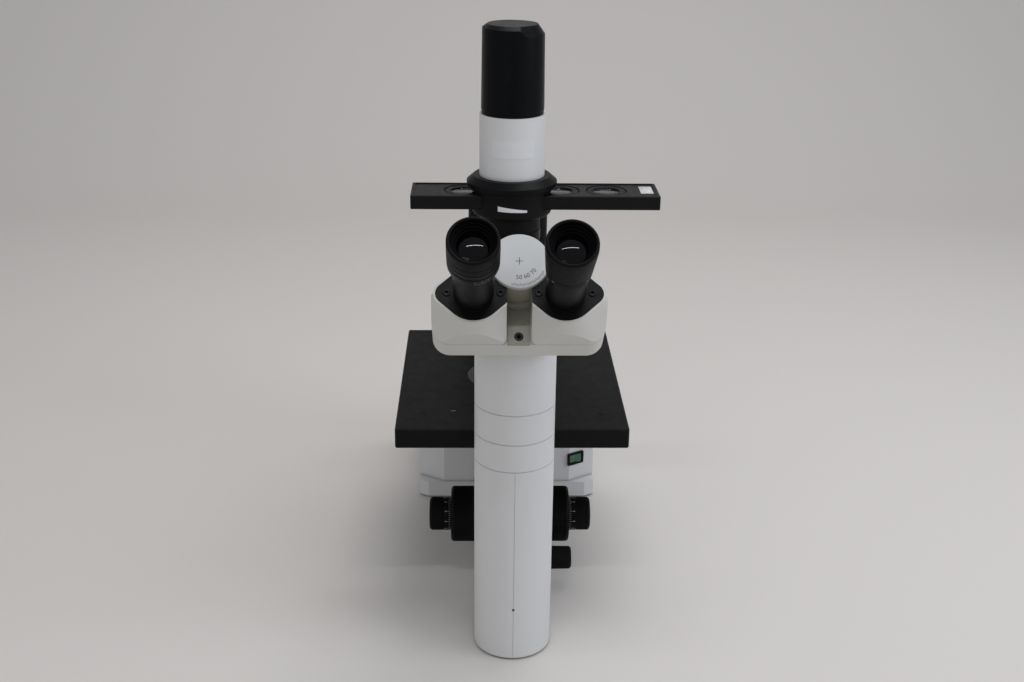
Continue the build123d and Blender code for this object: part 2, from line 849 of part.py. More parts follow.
turret_low = seat_level - turret_thickness
cradle_top = turret_low - sweep_gap
rack_teeth = 7
rack_first = -3
with BuildPart() as nosepiece_carriage:
    with BuildSketch(turret_plane(cradle_top - cradle_thickness)):
        Circle(turret_radius - 3.0)
    extrude(amount=cradle_thickness)
    with BuildSketch(Plane.YZ.offset(-carriage_half)):
        Polygon(
            (pillar_back_y + sliding_gap, carriage_low_z),
            (leg_back_y, carriage_low_z),
            (leg_back_y, carriage_low_z + carriage_foot),
            (leg_back_y - carriage_step, carriage_low_z + carriage_foot + 1.5),
            (leg_back_y - carriage_step - 6.0, carriage_high_z),
            (pillar_back_y + sliding_gap, carriage_high_z),
            align=None,
        )
    extrude(amount=2 * carriage_half)
    with BuildSketch(Plane.XY.offset(carriage_low_z - 1)):
        with Locations((0, pillar_back_y + rail_depth / 2)):
            Rectangle(2 * (rail_half + sliding_gap), rail_depth + 2 * sliding_gap)
    extrude(amount=carriage_high_z, mode=Mode.SUBTRACT)
    with BuildSketch(Plane.XY.offset(leg_low_z)):
        with Locations((0, (leg_front_y + leg_back_y) / 2)):
            Rectangle(2 * leg_half, leg_back_y - leg_front_y)
    extrude(amount=carriage_low_z - leg_low_z + 1)
    with BuildSketch(Plane.YZ.offset(-pinion_width / 2)):
        for number in range(rack_teeth):
            at_z = focus_z + (number + rack_first + 1) * tooth_pitch
            Polygon(
                (leg_front_y + 0.5, at_z + tooth_half + tooth_root * pressure_slope),
                (leg_front_y - tooth_root, at_z + tooth_half),
                (rack_face_y, at_z + tooth_half - tooth_tip * pressure_slope),
                (rack_face_y, at_z - tooth_half + tooth_tip * pressure_slope),
                (leg_front_y - tooth_root, at_z - tooth_half),
                (leg_front_y + 0.5, at_z - tooth_half - tooth_root * pressure_slope),
                align=None,
            )
    extrude(amount=pinion_width)
    with BuildSketch(turret_plane(0)):
        with Locations((0, seat_radius * (cradle_top / seat_level))):
            Circle(turret_bore)
    extrude(amount=cradle_top + 5, mode=Mode.SUBTRACT)
    with BuildSketch(turret_plane(cradle_top - cradle_thickness)):
        Circle(turret_axle_radius)
    extrude(amount=cradle_thickness + sweep_gap + turret_thickness - 2.0)
save(nosepiece_carriage, "nosepiece_carriage")


def objective_plane(number, distance):
    """A plane across an objective's axis, at a distance from the apex."""
    turn = radians(90 + 360 / objective_count * number)
    across = Vector(1, 0, 0) * cos(turn) + Vector(0, cos(tilt), sin(tilt)) * sin(turn)
    along = turret_axis_dir * cos(tilt) + across * sin(tilt)
    side = Vector(1, 0, 0) * -sin(turn) + Vector(0, cos(tilt), sin(tilt)) * cos(turn)
    return Plane(origin=apex + along * distance, x_dir=side, z_dir=along)


cone_drop = tan(tilt)
crown_level = seat_level + (seat_radius - turret_crown_radius) * cone_drop
turret_body = turned(
    turret_plane(0),
    (0, turret_low),
    (turret_radius - 2.0, turret_low),
    (turret_radius, turret_low + 2.0),
    (turret_radius, seat_level - (turret_radius - seat_radius) * cone_drop - 1.0),
    (turret_radius - 3.0, seat_level - (turret_radius - 3.0 - seat_radius) * cone_drop - 0.6),
    (turret_crown_radius, crown_level - 0.6),
    (0, crown_level - 0.2),
)
with BuildPart() as turret:
    add(turret_body.part)
    for number in range(objective_count):
        with BuildSketch(objective_plane(number, apex_length - 5.0)):
            Circle(turret_boss_radius)
        extrude(amount=5.0)
    for number in range(objective_count):
        with BuildSketch(objective_plane(number, apex_length + 1.0)):
            Circle(turret_bore)
        extrude(amount=-(turret_thickness + 8.0), mode=Mode.SUBTRACT)
    with BuildSketch(turret_plane(turret_low - 1.0)):
        Circle(turret_axle_radius + turning_gap)
    extrude(amount=turret_thickness, mode=Mode.SUBTRACT)
save(turret, "turret")


def objective(number):
    """One objective: threaded shank, ringed barrel, tapered nose and clear bore."""
    length = objective_lengths[number]
    tip = objective_tips[number]
    nose = length * 0.62
    thread = turret_bore - turning_gap
    return turned(
        objective_plane(number, apex_length),
        (objective_bore, -4.5),
        (thread, -4.5),
        (thread, 0),
        (objective_radius, 0),
        (objective_radius, nose * 0.45),
        (objective_radius - 0.7, nose * 0.48),
        (objective_radius - 0.7, nose * 0.58),
        (objective_radius, nose * 0.61),
        (objective_radius, nose),
        (tip + 0.8, length - 4.0),
        (tip, length - 3.2),
        (tip, length),
        (objective_bore, length),
    )


with BuildPart() as objectives:
    for number in range(objective_count):
        add(objective(number).part)
save(objectives, "objectives")

# Light control

light_plane = Plane(origin=(0, light_knob_y, light_knob_z), x_dir=(0, 0, 1), z_dir=(1, 0, 0))
control_face = spine_half - casting_wall
light_control = turned(
    light_plane,
    (0, control_face - 12.0),
    (8.0, control_face - 12.0),
    (8.0, control_face),
    (light_shaft_radius + turning_gap + 1.3, control_face),
    (light_shaft_radius + turning_gap + 1.3, spine_half),
    (light_shaft_radius + turning_gap, spine_half),
    (light_shaft_radius + turning_gap, control_face - 8.0),
    (0, control_face - 8.0),
)
save(light_control, "light_control")

brightness_knob = turned(
    light_plane,
    (0, control_face - 7.8),
    (light_shaft_radius, control_face - 7.8),
    (light_shaft_radius, spine_half + knob_gap),
    (light_knob_radius - 0.8, spine_half + knob_gap),
    (light_knob_radius, spine_half + knob_gap + 2.0),
    (light_knob_radius - 0.5, light_knob_reach - 1.6),
    (light_knob_radius - 2.0, light_knob_reach),
    (0, light_knob_reach),
)
save(brightness_knob, "brightness_knob")

# Rear column and arm

mast_depth = mast_back_y - mast_front_y
mast_mid_y = (mast_back_y + mast_front_y) / 2
with BuildPart() as illumination_column:
    with BuildSketch(Plane.XY.offset(rear_top)):
        with Locations((0, mast_mid_y)):
            RectangleRounded(2 * mast_half, mast_depth, mast_corner)
    extrude(amount=mast_top - rear_top)
    fillet(illumination_column.faces().sort_by(Axis.Z)[-1].edges(), 4)
    with BuildSketch(Plane.XY.offset(rear_top)):
        with Locations((0, mast_mid_y)):
            RectangleRounded(
                2 * (mast_half - mast_wall), mast_depth - 2 * mast_wall, mast_corner - mast_wall
            )
    extrude(amount=mast_top - mast_wall - rear_top, mode=Mode.SUBTRACT)
save(illumination_column, "illumination_column")

arm_low = mast_top
with BuildPart() as illumination_arm:
    with BuildSketch(Plane.XY.offset(arm_low)):
        with Locations((0, arm_back_y / 2)):
            Rectangle(2 * arm_half, arm_back_y)
    extrude(amount=arm_top - arm_low)
    fillet(illumination_arm.edges().filter_by(Axis.Z).group_by(Axis.Y)[-1], arm_fillet)
    fillet(illumination_arm.faces().sort_by(Axis.Z)[-1].edges().group_by(Axis.Y)[-1], 6)
    with BuildSketch(Plane.XY.offset(arm_low)):
        Circle(housing_radius)
    extrude(amount=arm_top - arm_low, mode=Mode.SUBTRACT)
save(illumination_arm, "illumination_arm")

# Slider housing under the lamp, with the condenser below it

slot_gap = 0.3
with BuildPart() as slider_housing:
    with BuildSketch(Plane.XY.offset(housing_low)):
        Circle(housing_radius)
    extrude(amount=flange_low - housing_low)
    fillet(slider_housing.faces().sort_by(Axis.Z)[0].edges(), 4)
    with BuildSketch(Plane.XY.offset(slider_low - slot_gap)):
        Rectangle(4 * housing_radius, slider_depth + 2 * slot_gap)
    extrude(amount=slider_top - slider_low + 2 * slot_gap, mode=Mode.SUBTRACT)
    with BuildSketch(Plane.XY.offset(housing_low)):
        Circle(condenser_bore)
    extrude(amount=flange_low, mode=Mode.SUBTRACT)
save(slider_housing, "slider_housing")

condenser_ring_high = condenser_ring_low + condenser_ring_height
groove_radius = condenser_ring_radius - 3.0
condenser_barrel = turned(
    Plane.XY,
    (condenser_bore, condenser_low + 6.0),
    (condenser_bore, housing_low),
    (condenser_radius, housing_low),
    (condenser_radius, condenser_ring_high + turning_gap),
    (groove_radius, condenser_ring_high + turning_gap),
    (groove_radius, condenser_ring_low - turning_gap),
    (condenser_radius, condenser_ring_low - turning_gap),
    (condenser_radius, condenser_low + 12.0),
    (condenser_radius - 4.0, condenser_low),
    (condenser_bore - 2.0, condenser_low),
    (condenser_bore - 2.0, condenser_low + 6.0),
)
save(condenser_barrel, "condenser_barrel")

condenser_lens = turned(
    Plane.XY,
    (0, condenser_low + 3.0),
    (condenser_bore - 2.5, condenser_low + 6.0),
    (condenser_bore - 0.3, condenser_low + 6.0),
    (condenser_bore - 0.3, condenser_low + 9.0),
    (0, condenser_low + 14.0),
)
save(condenser_lens, "condenser_lens")

lever_turn = radians(lever_rest_angle)
lever_plane = Plane(
    origin=(
        condenser_radius * cos(lever_turn),
        condenser_radius * sin(lever_turn),
        (condenser_ring_low + condenser_ring_high) / 2,
    ),
    x_dir=(0, 0, 1),
    z_dir=(cos(lever_turn), sin(lever_turn), 0),
)
with BuildPart() as aperture_lever:
    with BuildSketch(Plane.XY.offset(condenser_ring_low)):
        Circle(condenser_ring_radius + 1.5)
        Circle(groove_radius + turning_gap, mode=Mode.SUBTRACT)
    extrude(amount=condenser_ring_height)
    with BuildSketch(lever_plane.offset(-2.0)):
        Circle(lever_radius)
    extrude(amount=lever_length + 2.0)
save(aperture_lever, "aperture_lever")

# Phase slider: a long bar with four cells, drawn with the second one on the axis

slider_plane = Plane.XY.offset(slider_low)
stop_row = (slider_stops - 1) * stop_spacing / 2 + first_stop_x
slider_mid_x = (slider_left + slider_right) / 2
with BuildPart() as phase_slider:
    with BuildSketch(slider_plane):
        with Locations((slider_mid_x, 0)):
            Rectangle(slider_right - slider_left, slider_depth)
    extrude(amount=slider_top - slider_low)
    chamfer(phase_slider.edges().filter_by(Axis.X), 0.8)
    chamfer(phase_slider.faces().sort_by(Axis.X)[0].edges(), 0.6)
    chamfer(phase_slider.faces().sort_by(Axis.X)[-1].edges(), 0.6)
    with BuildSketch(Plane.XY.offset(slider_top - slider_channel)):
        with Locations((slider_mid_x, 0)):
            Rectangle(slider_right - slider_left - 6.0, slider_depth - 2 * slider_lip)
    extrude(amount=slider_channel, mode=Mode.SUBTRACT)
    with BuildSketch(Plane.XY.offset(slider_top - slider_channel - cell_depth)):
        with Locations((stop_row, 0)):
            with GridLocations(stop_spacing, 0, slider_stops, 1):
                Circle(cell_radius)
    extrude(amount=cell_depth, mode=Mode.SUBTRACT)
    with BuildSketch(slider_plane):
        with Locations((stop_row, 0)):
            with GridLocations(stop_spacing, 0, slider_stops, 1):
                Circle(cell_hole_radius)
    extrude(amount=slider_top - slider_low, mode=Mode.SUBTRACT)
save(phase_slider, "phase_slider")

with BuildPart() as phase_rings:
    with BuildSketch(Plane.XY.offset(slider_top - slider_channel - cell_depth)):
        with Locations((stop_row, 0)):
            with GridLocations(stop_spacing, 0, slider_stops, 1):
                Circle(cell_radius - seat_gap)
    extrude(amount=cell_depth - 0.4)
save(phase_rings, "phase_rings")

# Lamp: flange, white tube, black cap, socket, bulb and collector

lamp_flange = turned(
    Plane.XY,
    (condenser_bore, flange_low),
    (flange_radius - 0.6, flange_low),
    (flange_radius, flange_low + 0.6),
    (flange_radius, flange_rim),
    (flange_neck, flange_top),
    (lamp_radius - lamp_wall - 2.0, flange_top),
    (condenser_bore, flange_top),
)
save(lamp_flange, "lamp_flange")

lamp_tube = tube(
    Plane.XY.offset(flange_top), lamp_radius, lamp_radius - lamp_wall, lamp_top - flange_top
)
save(lamp_tube, "lamp_tube")

cap_neck = lamp_radius - cap_neck_step
cap_skirt = lamp_top + cap_shadow
cap_top = cap_skirt + cap_height
cap_bore = cap_neck - cap_wall
spigot_radius = lamp_radius - lamp_wall - seat_gap
spigot_low = lamp_top - spigot_depth
lamp_cap = turned(
    Plane.XY,
    (cap_bore - socket_ledge, spigot_low),
    (spigot_radius, spigot_low),
    (spigot_radius, lamp_top),
    (spigot_radius + 1.0, lamp_top),
    (spigot_radius + 1.0, lamp_top + 0.6),
    (cap_neck, lamp_top + 0.6),
    (cap_neck, cap_skirt),
    (cap_radius_low, cap_skirt),
    (cap_radius_high, cap_top - cap_edge),
    (cap_radius_high - cap_edge, cap_top),
    (0, cap_top),
    (0, cap_top - cap_wall),
    (cap_radius_high - cap_edge - 1.0, cap_top - cap_wall),
    (cap_radius_high - cap_wall, cap_top - cap_edge - 1.5),
    (cap_bore, cap_skirt + cap_wall),
    (cap_bore, lamp_top - 2.0),
    (cap_bore - socket_ledge, lamp_top - 2.0),
)
save(lamp_cap, "lamp_cap")

# The socket hangs on two posts from a ring that rests on the cap's inner ledge
socket_z = lamp_top + socket_height
socket_radius = cap_bore - seat_gap
post_x = socket_radius - 2.0
socket_body = turned(
    Plane.XY,
    (0, socket_z),
    (bulb_holder_radius, socket_z),
    (bulb_holder_radius, socket_z + bulb_holder_height),
    (0, socket_z + bulb_holder_height),
)
with BuildPart() as lamp_socket:
    add(socket_body.part)
    with BuildSketch(Plane.XY.offset(lamp_top - 2.0)):
        with Locations((-post_x, 0), (post_x, 0)):
            Circle(1.8)
    extrude(amount=socket_height + 10.0)
    with BuildSketch(Plane.XY.offset(socket_z + 6.0)):
        Rectangle(2 * post_x, 6.0)
    extrude(amount=4.0)
    with BuildSketch(Plane.XY.offset(lamp_top - 2.0)):
        Circle(socket_radius)
        Circle(socket_radius - 4.0, mode=Mode.SUBTRACT)
    extrude(amount=3.0)
save(lamp_socket, "lamp_socket")

halogen_lamp = turned(
    Plane.XY,
    (0, socket_z - bulb_length),
    (3.0, socket_z - bulb_length + 2.0),
    (5.5, socket_z - bulb_length + 6.0),
    (5.5, socket_z - 9.0),
    (7.5, socket_z - 8.0),
    (7.5, socket_z),
    (0, socket_z),
)
save(halogen_lamp, "halogen_lamp")

cell_outer = lamp_radius - lamp_wall
collector_lens = turned(
    Plane.XY,
    (0, collector_z - 6.0),
    (collector_radius, collector_z - 2.0),
    (cell_outer, collector_z - 2.0),
    (cell_outer, collector_z + 3.0),
    (collector_radius, collector_z + 3.0),
    (0, collector_z + 7.0),
)
save(collector_lens, "collector_lens")

# Binocular head: everything is drawn along the viewing direction

elevation = radians(head_elevation)
view_dir = Vector(0, -cos(elevation), sin(elevation))
pivot = Vector(0, column_y, head_pivot_z)


def head_plane(distance, x=0.0, v=0.0):
    """A plane across the viewing direction, its Y up the head's own slope."""
    up = Vector(0, sin(elevation), cos(elevation))
    origin = pivot + view_dir * distance + Vector(x, 0, 0) + up * v
    return Plane(origin=origin, x_dir=(1, 0, 0), z_dir=view_dir)


def flange_outline(side, grow):
    """An eyepiece tube's flange: a round lobe with an ear at each screw."""
    centre = Pos(side * eyepiece_offset, -eyepiece_drop)
    shape = Sketch() + centre * Circle(flange_lobe + grow)
    for ear in (-1, 1):
        shape += centre * Pos(ear * flange_ear_offset, 0) * Circle(flange_ear + grow)
    return make_hull(shape.edges())


def wing_outline(side):
    """One wing of the head across the viewing direction."""
    width = head_half - wing_inner
    height = -eyepiece_drop - head_low
    middle = Pos(side * (head_half + wing_inner) / 2, head_low + height / 2)
    block = middle * Rectangle(width, height)
    lower = block.vertices().group_by(Axis.Y)[0]
    outer = lower.sort_by(Axis.X)[-1 if side > 0 else 0]
    block = fillet(outer, head_outer_corner)
    inner = block.vertices().group_by(Axis.Y)[0].sort_by(Axis.X)[0 if side > 0 else -1]
    block = fillet(inner, head_inner_corner)
    shape = block + flange_outline(side, wing_rim)
    beyond = Pos(side * (wing_inner - head_half), 0) * Rectangle(2 * head_half, 4 * head_half)
    shape -= beyond
    shape -= Circle(hub_radius + sweep_gap)
    limit = Pos(side * head_half / 2, 0) * Rectangle(head_half, 4 * head_half)
    return shape & limit


wing_plan = {-1: wing_outline(-1), 1: wing_outline(1)}

neck_half = 31.0
neck_rise = 34.0
neck_front_y = column_y - column_radius + 3.0
neck_rear_y = column_back_y - 6.0
neck_rear_z = column_top_z + neck_rise
back_low = head_plane(head_back, 0, head_low).origin
back_high = head_plane(head_back, 0, hub_radius).origin
prism_bay_half = 14.0
prism_bay_front_y = column_y - prism_bay_half
prism_bay_back_y = column_y + prism_bay_half
prism_bay_top = head_pivot_z + prism_bay_half
head_path_radius = 9.0
strip_half = wing_inner - 0.8

back_block = Pos(0, (head_low - eyepiece_drop) / 2) * Rectangle(
    2 * head_half, -eyepiece_drop - head_low
)
back_block = fillet(back_block.vertices().group_by(Axis.Y)[0], head_outer_corner)
head_plan = back_block + Circle(hub_radius)
head_plan += flange_outline(-1, wing_rim) + flange_outline(1, wing_rim)
strip_height = eyepiece_drop + strip_half + (-head_low - eyepiece_drop) - 2.0
strip_mid = head_low + strip_height / 2
with BuildPart() as head_base:
    with BuildSketch(head_plane(head_back)):
        add(head_plan)
    extrude(amount=head_joint - head_back)
    with BuildSketch(Plane.YZ.offset(-neck_half)):
        Polygon(
            (neck_front_y, column_top_z),
            (back_low.Y, back_low.Z),
            (back_high.Y, back_high.Z),
            (neck_rear_y, neck_rear_z),
            (neck_rear_y, column_top_z),
            align=None,
        )
    extrude(amount=2 * neck_half)
    with BuildSketch(Plane.YZ.offset(-prism_bay_half)):
        Polygon(
            (prism_bay_front_y, column_top_z),
            (prism_bay_front_y, prism_bay_top),
            (prism_bay_back_y, prism_bay_top),
            (prism_bay_back_y, column_top_z),
            align=None,
        )
    extrude(amount=2 * prism_bay_half, mode=Mode.SUBTRACT)
    with BuildSketch(head_plane(0)):
        Circle(head_path_radius)
    extrude(amount=head_joint, mode=Mode.SUBTRACT)
    with BuildSketch(head_plane(head_joint)):
        with Locations((0, strip_mid)):
            Rectangle(2 * strip_half, strip_height)
    extrude(amount=-strip_thickness - seat_gap, mode=Mode.SUBTRACT)
save(head_base, "head_base")

splitter_half = 10.0
with BuildPart() as head_prisms:
    with BuildSketch(Plane.YZ.offset(-prism_bay_half + seat_gap)):
        Polygon(
            (prism_bay_back_y, prism_bay_top - 2 * prism_bay_half + 4.0),
            (prism_bay_back_y, prism_bay_top),
            (prism_bay_front_y + 12.0, prism_bay_top),
            align=None,
        )
    extrude(amount=2 * (prism_bay_half - seat_gap))
    with BuildSketch(head_plane(head_joint)):
        Rectangle(2 * splitter_half, 2 * splitter_half)
    extrude(amount=2 * splitter_half)
save(head_prisms, "head_prisms")

# Wings: each hangs on the hub by its own ring, one ring above the other

ring_height = 4.0
ring_width = 2.6
ring_outer = hub_radius + ring_width
wing_low = head_joint + sweep_gap
wing_high = head_front
rings_high = wing_low + 2 * (ring_height + sweep_gap)
window_radius = 7.0
window_level = rings_high + window_radius + 1.0
hub_high = head_front + flange_plate - flange_recess
wing_reach = hypot(eyepiece_offset, eyepiece_drop)
flare_spread = (wing_high - wing_low) * tan(radians(wing_flare))


def side_window(side):
    """The plane from which the light leaves the hub towards a wing."""
    across = head_plane(0)
    out = across.x_dir * side * eyepiece_offset - across.y_dir * eyepiece_drop
    return Plane(origin=pivot + view_dir * window_level, x_dir=view_dir, z_dir=out)


with BuildPart() as head_hub:
    with BuildSketch(head_plane(head_joint)):
        Circle(hub_radius)
        Circle(hub_radius - 6.0, mode=Mode.SUBTRACT)
    extrude(amount=hub_high - head_joint)
    with BuildSketch(head_plane(head_joint - strip_thickness)):
        with Locations((0, strip_mid)):
            Rectangle(2 * strip_half - 2 * seat_gap, strip_height - 2 * seat_gap)
        Circle(hub_radius - 1.0, mode=Mode.SUBTRACT)
    extrude(amount=strip_thickness)
    for side in (-1, 1):
        with BuildSketch(side_window(side)):
            Circle(window_radius)
        extrude(amount=2 * hub_radius, mode=Mode.SUBTRACT)
save(head_hub, "head_hub")

interpupillary_dial = turned(
    head_plane(hub_high),
    (0, 0),
    (dial_radius, 0),
    (dial_radius, dial_thickness - 0.8),
    (dial_radius - 0.8, dial_thickness),
    (0, dial_thickness),
)
save(interpupillary_dial, "interpupillary_dial")


def draw_flange(side, grow):
    """Draw a flange, cut back beside the hub and beside the other wing."""
    add(flange_outline(side, grow))
    Circle(dial_radius + sweep_gap - grow, mode=Mode.SUBTRACT)
    with Locations((side * (wing_inner - grow - head_half), 0)):
        Rectangle(2 * head_half, 4 * head_half, mode=Mode.SUBTRACT)


def head_wing(side):
    """One wing: a housing with its pivot ring, prism bay and flange recess."""
    ring_low = wing_low if side < 0 else wing_low + ring_height + sweep_gap
    bay_depth = head_front - flange_recess - 4.0 - (wing_low + casting_wall)
    with BuildPart() as wing:
        with BuildSketch(head_plane(wing_low)):
            add(wing_plan[side])
        extrude(amount=wing_high - wing_low)
        with BuildSketch(head_plane(wing_low)):
            add(flange_outline(side, wing_rim + flare_spread))
        extrude(amount=wing_high - wing_low, taper=wing_flare, mode=Mode.INTERSECT)
        with BuildSketch(head_plane(wing_low)):
            Circle(ring_outer + sweep_gap)
        extrude(amount=rings_high - wing_low, mode=Mode.SUBTRACT)
        with BuildSketch(head_plane(ring_low)):
            Circle(ring_outer)
            with Locations((side * (ring_outer + 2.0) * 0.8, -(ring_outer + 2.0) * 0.6)):
                Circle(9.0)
            Circle(hub_radius + turning_gap, mode=Mode.SUBTRACT)
        extrude(amount=ring_height)
        with BuildSketch(head_plane(wing_low + casting_wall)):
            with Locations((side * (eyepiece_offset + 1.0), -eyepiece_drop)):
                Rectangle(wing_bay_width, wing_bay_height)
        extrude(amount=bay_depth, mode=Mode.SUBTRACT)
        with BuildSketch(head_plane(wing_low + casting_wall)):
            with Locations((side * eyepiece_offset, -eyepiece_drop)):
                Circle(tube_bore)
        extrude(amount=wing_high, mode=Mode.SUBTRACT)
        with BuildSketch(side_window(side)):
            Circle(window_radius)
        extrude(amount=wing_reach, mode=Mode.SUBTRACT)
        with BuildSketch(head_plane(head_front - flange_recess)):
            draw_flange(side, seat_gap)
        extrude(amount=2 * flange_recess, mode=Mode.SUBTRACT)
    return wing


wing_left = head_wing(-1)
save(wing_left, "wing_left")
wing_right = head_wing(1)
save(wing_right, "wing_right")


def eyepiece_tube(side, end):
    """A flanged tube screwed to the front of a wing."""
    with BuildPart() as flanged:
        with BuildSketch(head_plane(head_front - flange_recess)):
            draw_flange(side, 0)
        extrude(amount=flange_plate)
        with BuildSketch(head_plane(head_front, side * eyepiece_offset, -eyepiece_drop)):
            Circle(tube_radius)
        extrude(amount=end - head_front)
        with BuildSketch(head_plane(0, side * eyepiece_offset, -eyepiece_drop)):
            Circle(tube_bore)
        extrude(amount=end, mode=Mode.SUBTRACT)
        screw_y = head_front - flange_recess + flange_plate
        with BuildSketch(head_plane(screw_y, side * eyepiece_offset, -eyepiece_drop)):
            with GridLocations(2 * flange_ear_offset, 0, 2, 1):
                Circle(2.9)
        extrude(amount=-1.4, mode=Mode.SUBTRACT)
    return flanged


eyepiece_tube_left = eyepiece_tube(-1, left_tube_end)
save(eyepiece_tube_left, "eyepiece_tube_left")
eyepiece_tube_right = eyepiece_tube(1, right_tube_end)
save(eyepiece_tube_right, "eyepiece_tube_right")

# Eyepieces: the left one focuses, the right one is a single piece

left_axis = head_plane(0, -eyepiece_offset, -eyepiece_drop)
right_axis = head_plane(0, eyepiece_offset, -eyepiece_drop)
barrel_low = head_front + 14.0
barrel_wall = 2.0
web_thickness = 3.0
cup_radius = grip_radius - eyecup_wall
collar_radius = sleeve_radius + 1.2
left_cup_floor = left_rim - eyecup_depth
right_cup_floor = right_rim - eyecup_depth

eyepiece_left = turned(
    left_axis,
    (barrel_radius - barrel_wall, barrel_low),
    (barrel_radius, barrel_low),
    (barrel_radius, left_tube_end),
    (tube_radius + 0.2, left_tube_end),
    (collar_radius, left_tube_end + 2.0),
    (collar_radius, diopter_low - 0.3),
    (sleeve_radius, diopter_low - 0.3),
    (sleeve_radius, left_cup_floor - web_thickness - 0.5),
    (sleeve_radius - barrel_wall, left_cup_floor - web_thickness - 0.5),
    (sleeve_radius - barrel_wall, diopter_low),
    (barrel_radius - barrel_wall, left_tube_end),
)
save(eyepiece_left, "eyepiece_left")

diopter_ring = tube(
    left_axis.offset(diopter_low), grip_radius, sleeve_radius + turning_gap, diopter_high - diopter_low
)
chamfered_ends = diopter_ring.edges().filter_by(GeomType.CIRCLE).sort_by(SortBy.RADIUS)[-2:]
diopter_ring.part = chamfer(chamfered_ends, 0.5)
save(diopter_ring, "diopter_ring")

eyepiece_top_left = turned(
    left_axis,
    (sleeve_radius + turning_gap, diopter_high + 0.3),
    (grip_radius, diopter_high + 0.3),
    (grip_radius, left_rim - 1.0),
    (grip_radius - 1.0, left_rim),
    (cup_radius, left_rim),
    (cup_radius - 1.5, left_cup_floor + 1.0),
    (eye_lens_radius, left_cup_floor),
    (eye_lens_radius, left_cup_floor - web_thickness),
    (sleeve_radius + turning_gap, left_cup_floor - web_thickness),
)
save(eyepiece_top_left, "eyepiece_top_left")


def eye_lens(axis_plane, cup_floor):
    """The lens next to the eye, held in the web under the eyecup."""
    return turned(
        axis_plane,
        (0, cup_floor - web_thickness),
        (eye_lens_radius, cup_floor - web_thickness),
        (eye_lens_radius, cup_floor - 0.4),
        (eye_lens_radius * 0.7, cup_floor + 0.7),
        (0, cup_floor + 1.4),
    )


eye_lens_left = eye_lens(left_axis, left_cup_floor)
save(eye_lens_left, "eye_lens_left")
eye_lens_right = eye_lens(right_axis, right_cup_floor)
save(eye_lens_right, "eye_lens_right")

eyepiece_right = turned(
    right_axis,
    (barrel_radius - barrel_wall, barrel_low),
    (barrel_radius, barrel_low),
    (barrel_radius, right_tube_end),
    (right_low_radius - 0.8, right_tube_end),
    (right_low_radius, right_taper_low),
    (grip_radius, right_taper_high),
    (grip_radius, right_rim - 1.0),
    (grip_radius - 1.0, right_rim),
    (cup_radius, right_rim),
    (cup_radius - 1.5, right_cup_floor + 1.0),
    (eye_lens_radius, right_cup_floor),
    (eye_lens_radius, right_cup_floor - web_thickness),
    (sleeve_radius - barrel_wall, right_cup_floor - web_thickness),
    (sleeve_radius - barrel_wall, right_tube_end + 12.0),
    (barrel_radius - barrel_wall, right_tube_end),
)
save(eyepiece_right, "eyepiece_right")
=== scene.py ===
import json
import math

import bmesh
import bpy
from mathutils import Matrix, Vector


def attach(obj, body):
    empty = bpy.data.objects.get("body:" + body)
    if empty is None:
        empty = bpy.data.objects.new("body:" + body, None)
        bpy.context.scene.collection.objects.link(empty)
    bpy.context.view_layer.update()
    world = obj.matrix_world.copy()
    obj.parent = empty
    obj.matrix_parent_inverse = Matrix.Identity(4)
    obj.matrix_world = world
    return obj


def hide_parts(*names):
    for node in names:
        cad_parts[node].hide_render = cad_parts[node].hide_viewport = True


# An inverted microscope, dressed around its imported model. Sizes are in millimetres
# and are turned into metres where a mesh is made.

mm = 0.001
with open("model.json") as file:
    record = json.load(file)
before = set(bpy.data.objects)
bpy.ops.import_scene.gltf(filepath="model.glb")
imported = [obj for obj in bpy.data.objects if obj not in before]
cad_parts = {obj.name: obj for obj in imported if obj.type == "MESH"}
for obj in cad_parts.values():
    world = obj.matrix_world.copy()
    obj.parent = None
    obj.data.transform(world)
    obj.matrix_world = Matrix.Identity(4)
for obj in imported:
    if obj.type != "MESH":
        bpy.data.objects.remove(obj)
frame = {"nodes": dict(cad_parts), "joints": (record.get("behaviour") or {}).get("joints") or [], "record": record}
nodes = frame["nodes"]
joints = {joint["name"]: joint for joint in frame["joints"]}
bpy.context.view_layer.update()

# The photograph's camera
focal_pixels = 1292.5
frame_pixels = 1024
camera_spot = (-29.5, -1179.1, 681.9)
camera_pitch = 21.61
camera_yaw = 1.53
camera_roll = 0.70

# The head, along and across the viewing direction
plate_level = 91.3          # top of the wings, where the black flange plates sit
plate_rise = 0.6            # how far the plates stand above the wings
dial_level = 94.8
dial_radius = 23.0
dial_number_reach = 13.6
hub_collar = 25.9           # radius of the strip's colour round the hub
left_rim = 176.3
right_rim = 173.2
eye_x = 34.3
eye_drop = 25.3
ear_offset = 20.0
plate_screw_sink = 1.4      # how deep a flange screw sits below its plate's top
grip_radius = 19.1
tube_low = 105.3
tube_bore = 9.6
tube_outer = 11.6
left_end = 139.0
ring_low = 143.2         # the focusing ring of the left eyepiece
ring_high = 156.0
right_end = 130.0
right_low_radius = 16.9
top_bore = 16.05            # bore of the focusing ring and the left eyepiece's top
cup_depth = 12.0            # from an eyecup's rim down to the seat of its lens
cup_bore = 12.0
lens_radius = 11.9
lens_edge = 1.8
lens_sag = 2.2
strip_level = 61.5
strip_screw_v = -47.5
strip_screw_radius = 3.6
strip_screw_height = 0.26
strip_screw_socket_shade = 2.0

# Focus and light knobs, along their own axes
coarse_radius = 26.85
coarse_low = 33.5
coarse_end = 57.0
fine_radius = 16.0
fine_end = 78.0
light_radius = 10.9
light_foot = 23.0
light_skirt = 33.5
light_end = 57.0
knob_shaft = 4.5

